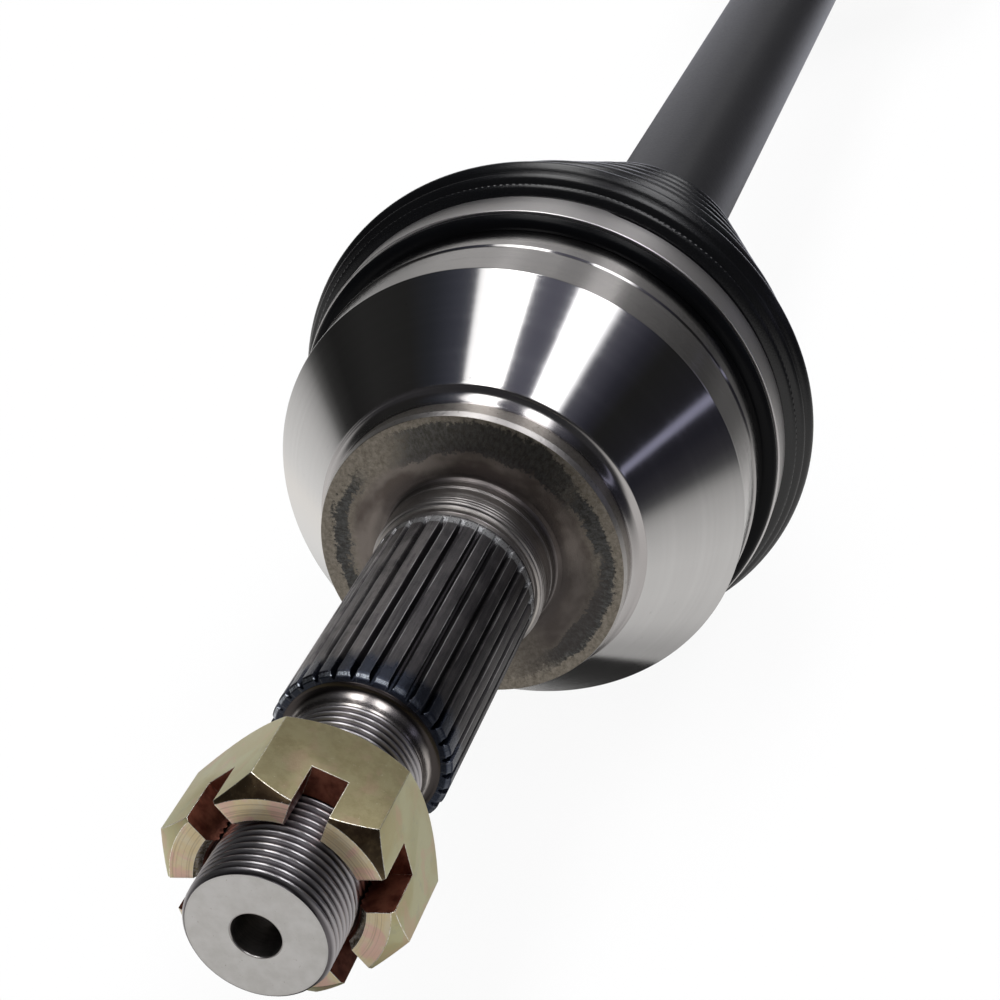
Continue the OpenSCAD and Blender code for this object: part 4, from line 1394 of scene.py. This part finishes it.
# nearly along the axle: what the flat clamps see
AXIAL = [
    (-180, 0.03), (-140, 0.03), (-110, 0.06), (-88, 0.32), (-66, 0.50), (-42, 0.54),
    (-20, 0.50), (5, 0.46), (25, 0.40), (48, 0.28), (70, 0.18), (93, 0.115), (115, 0.15),
    (137, 0.10), (158, 0.075), (179, 0.03)]
DEEP_AXIAL = [
    (-180, 1.1), (-150, 1.0), (-138, 0.95), (-118, 0.95), (-98, 0.82), (-77, 0.72),
    (-57, 0.68), (-36, 0.59), (-16, 0.48), (5, 0.36), (26, 0.20), (46, 0.15), (67, 0.10),
    (88, 0.07), (108, 0.08), (129, 0.44), (149, 1.2), (172, 1.3)]


def around(azimuth, stops):
    """Colour ramp over the azimuth; a single number is a slightly warm grey."""
    ramp = azimuth.nodes.node("ValToRGB", {0: (azimuth + 180) / 360})
    elements = ramp.node.color_ramp.elements
    while len(elements) > 1:
        elements.remove(elements[-1])
    for k, (angle, tone) in enumerate(stops):
        place = (angle + 180) / 360
        stop = elements[0] if k == 0 else elements.new(place)
        stop.position = place
        warm = tone if isinstance(tone, tuple) else (tone, tone * 0.99, tone * 0.975)
        stop.color = (*warm, 1)
    return ramp


def build_world():
    world = bpy.data.worlds.new("studio")
    bpy.context.scene.world = world
    nodes = Nodes(world)
    mix = nodes.mix
    x, y, z = nodes.split(nodes.node("TexCoord", out="Generated"))
    azimuth = (y * -1).math("ARCTAN2", z) * (180 / math.pi)
    full_turn = (azimuth + 720).math("MODULO", 360)

    side = around(azimuth, SIDE)
    side = mix(x.rise(0.60, 0.72), side, around(azimuth, SLANTED))
    # three bright strips above, fading towards +X, and a faint blue one at -Y
    fade = x.rise(0.55, 0.72, low=1.0, high=0.05)
    side = mix(fade * azimuth.band(-15.6, -10.5, soft=0.5), side, (1.5, 1.5, 1.5))
    side = mix(fade * azimuth.band(-10.9, 4.4, soft=0.35), side, (3.4, 3.4, 3.4))
    strip = azimuth.rise(20.4, 21.4) * azimuth.fall(33.0, 39.5)
    side = mix(fade * strip, side, (3.0, 3.0, 3.05))
    side = mix(azimuth.band(81.2, 84.8, soft=0.8), side, (0.31, 0.31, 0.42))

    backdrop = around(azimuth, BACKDROP)
    axial = around(azimuth, AXIAL)
    # behind the camera: an even pale wall, dark above and far below
    near = mix(z.rise(-0.30, -0.08), (0.66, 0.65, 0.64), (0.035, 0.035, 0.038))
    near = mix(z.rise(-0.80, -0.92), near, (0.05, 0.05, 0.05))
    colour = mix(x.rise(0.846, 0.856), side, backdrop)
    deep = nodes.vector_math("MULTIPLY", around(azimuth, DEEP_AXIAL), (0.98, 1.0, 1.13))
    dimmed = nodes.vector_math("MULTIPLY", deep, (0.33, 0.33, 0.35))
    deep = mix(x.rise(0.914, 0.932), dimmed, deep)
    # the borders between the zones shift a little with the azimuth
    inner_border = x - azimuth.band(-60, 75, soft=12) * 0.003
    axial = mix(inner_border.rise(0.905, 0.912), axial, deep)
    outer_border = x - full_turn.rise(90, 110) * -0.018
    colour = mix(outer_border.rise(0.894, 0.902), colour, axial)
    colour = mix(x.rise(-0.60, -0.74), colour, near)
    # plain white where the camera sees it directly
    colour = mix(nodes.node("LightPath", out="Is Camera Ray"), colour, (1, 1, 1))
    nodes.node("OutputWorld", {0: nodes.node("Background", {0: colour})})


build_world()


# ---------------------------------------------------------------------- camera
def build_camera():
    camera = bpy.data.cameras.new("photo_camera")
    camera.sensor_width = 36
    camera.lens = 77.5
    camera.clip_start, camera.clip_end = 0.01, 50
    ob = bpy.data.objects.new("photo_camera", camera)
    bpy.context.scene.collection.objects.link(ob)
    forward = Vector((0.83755, 0.30624, -0.45246)).normalized()
    right = forward.cross(Vector((0.47530, 0.0, 0.87983)).normalized()).normalized() \
        if False else forward.cross(Vector((0.47530, 0.0, 0.87983))).normalized()
    up = right.cross(forward).normalized()
    matrix = Matrix((right, up, -forward)).transposed().to_4x4()
    matrix.translation = Vector((-0.33598, -0.13078, 0.19391))
    ob.matrix_world = matrix
    bpy.context.scene.camera = ob


build_camera()
scene = bpy.context.scene
scene.view_settings.view_transform = "Standard"
scene.view_settings.look = "None"
scene.view_settings.exposure = 0.0
scene.view_settings.gamma = 1.0
scene.cycles.use_denoising = True
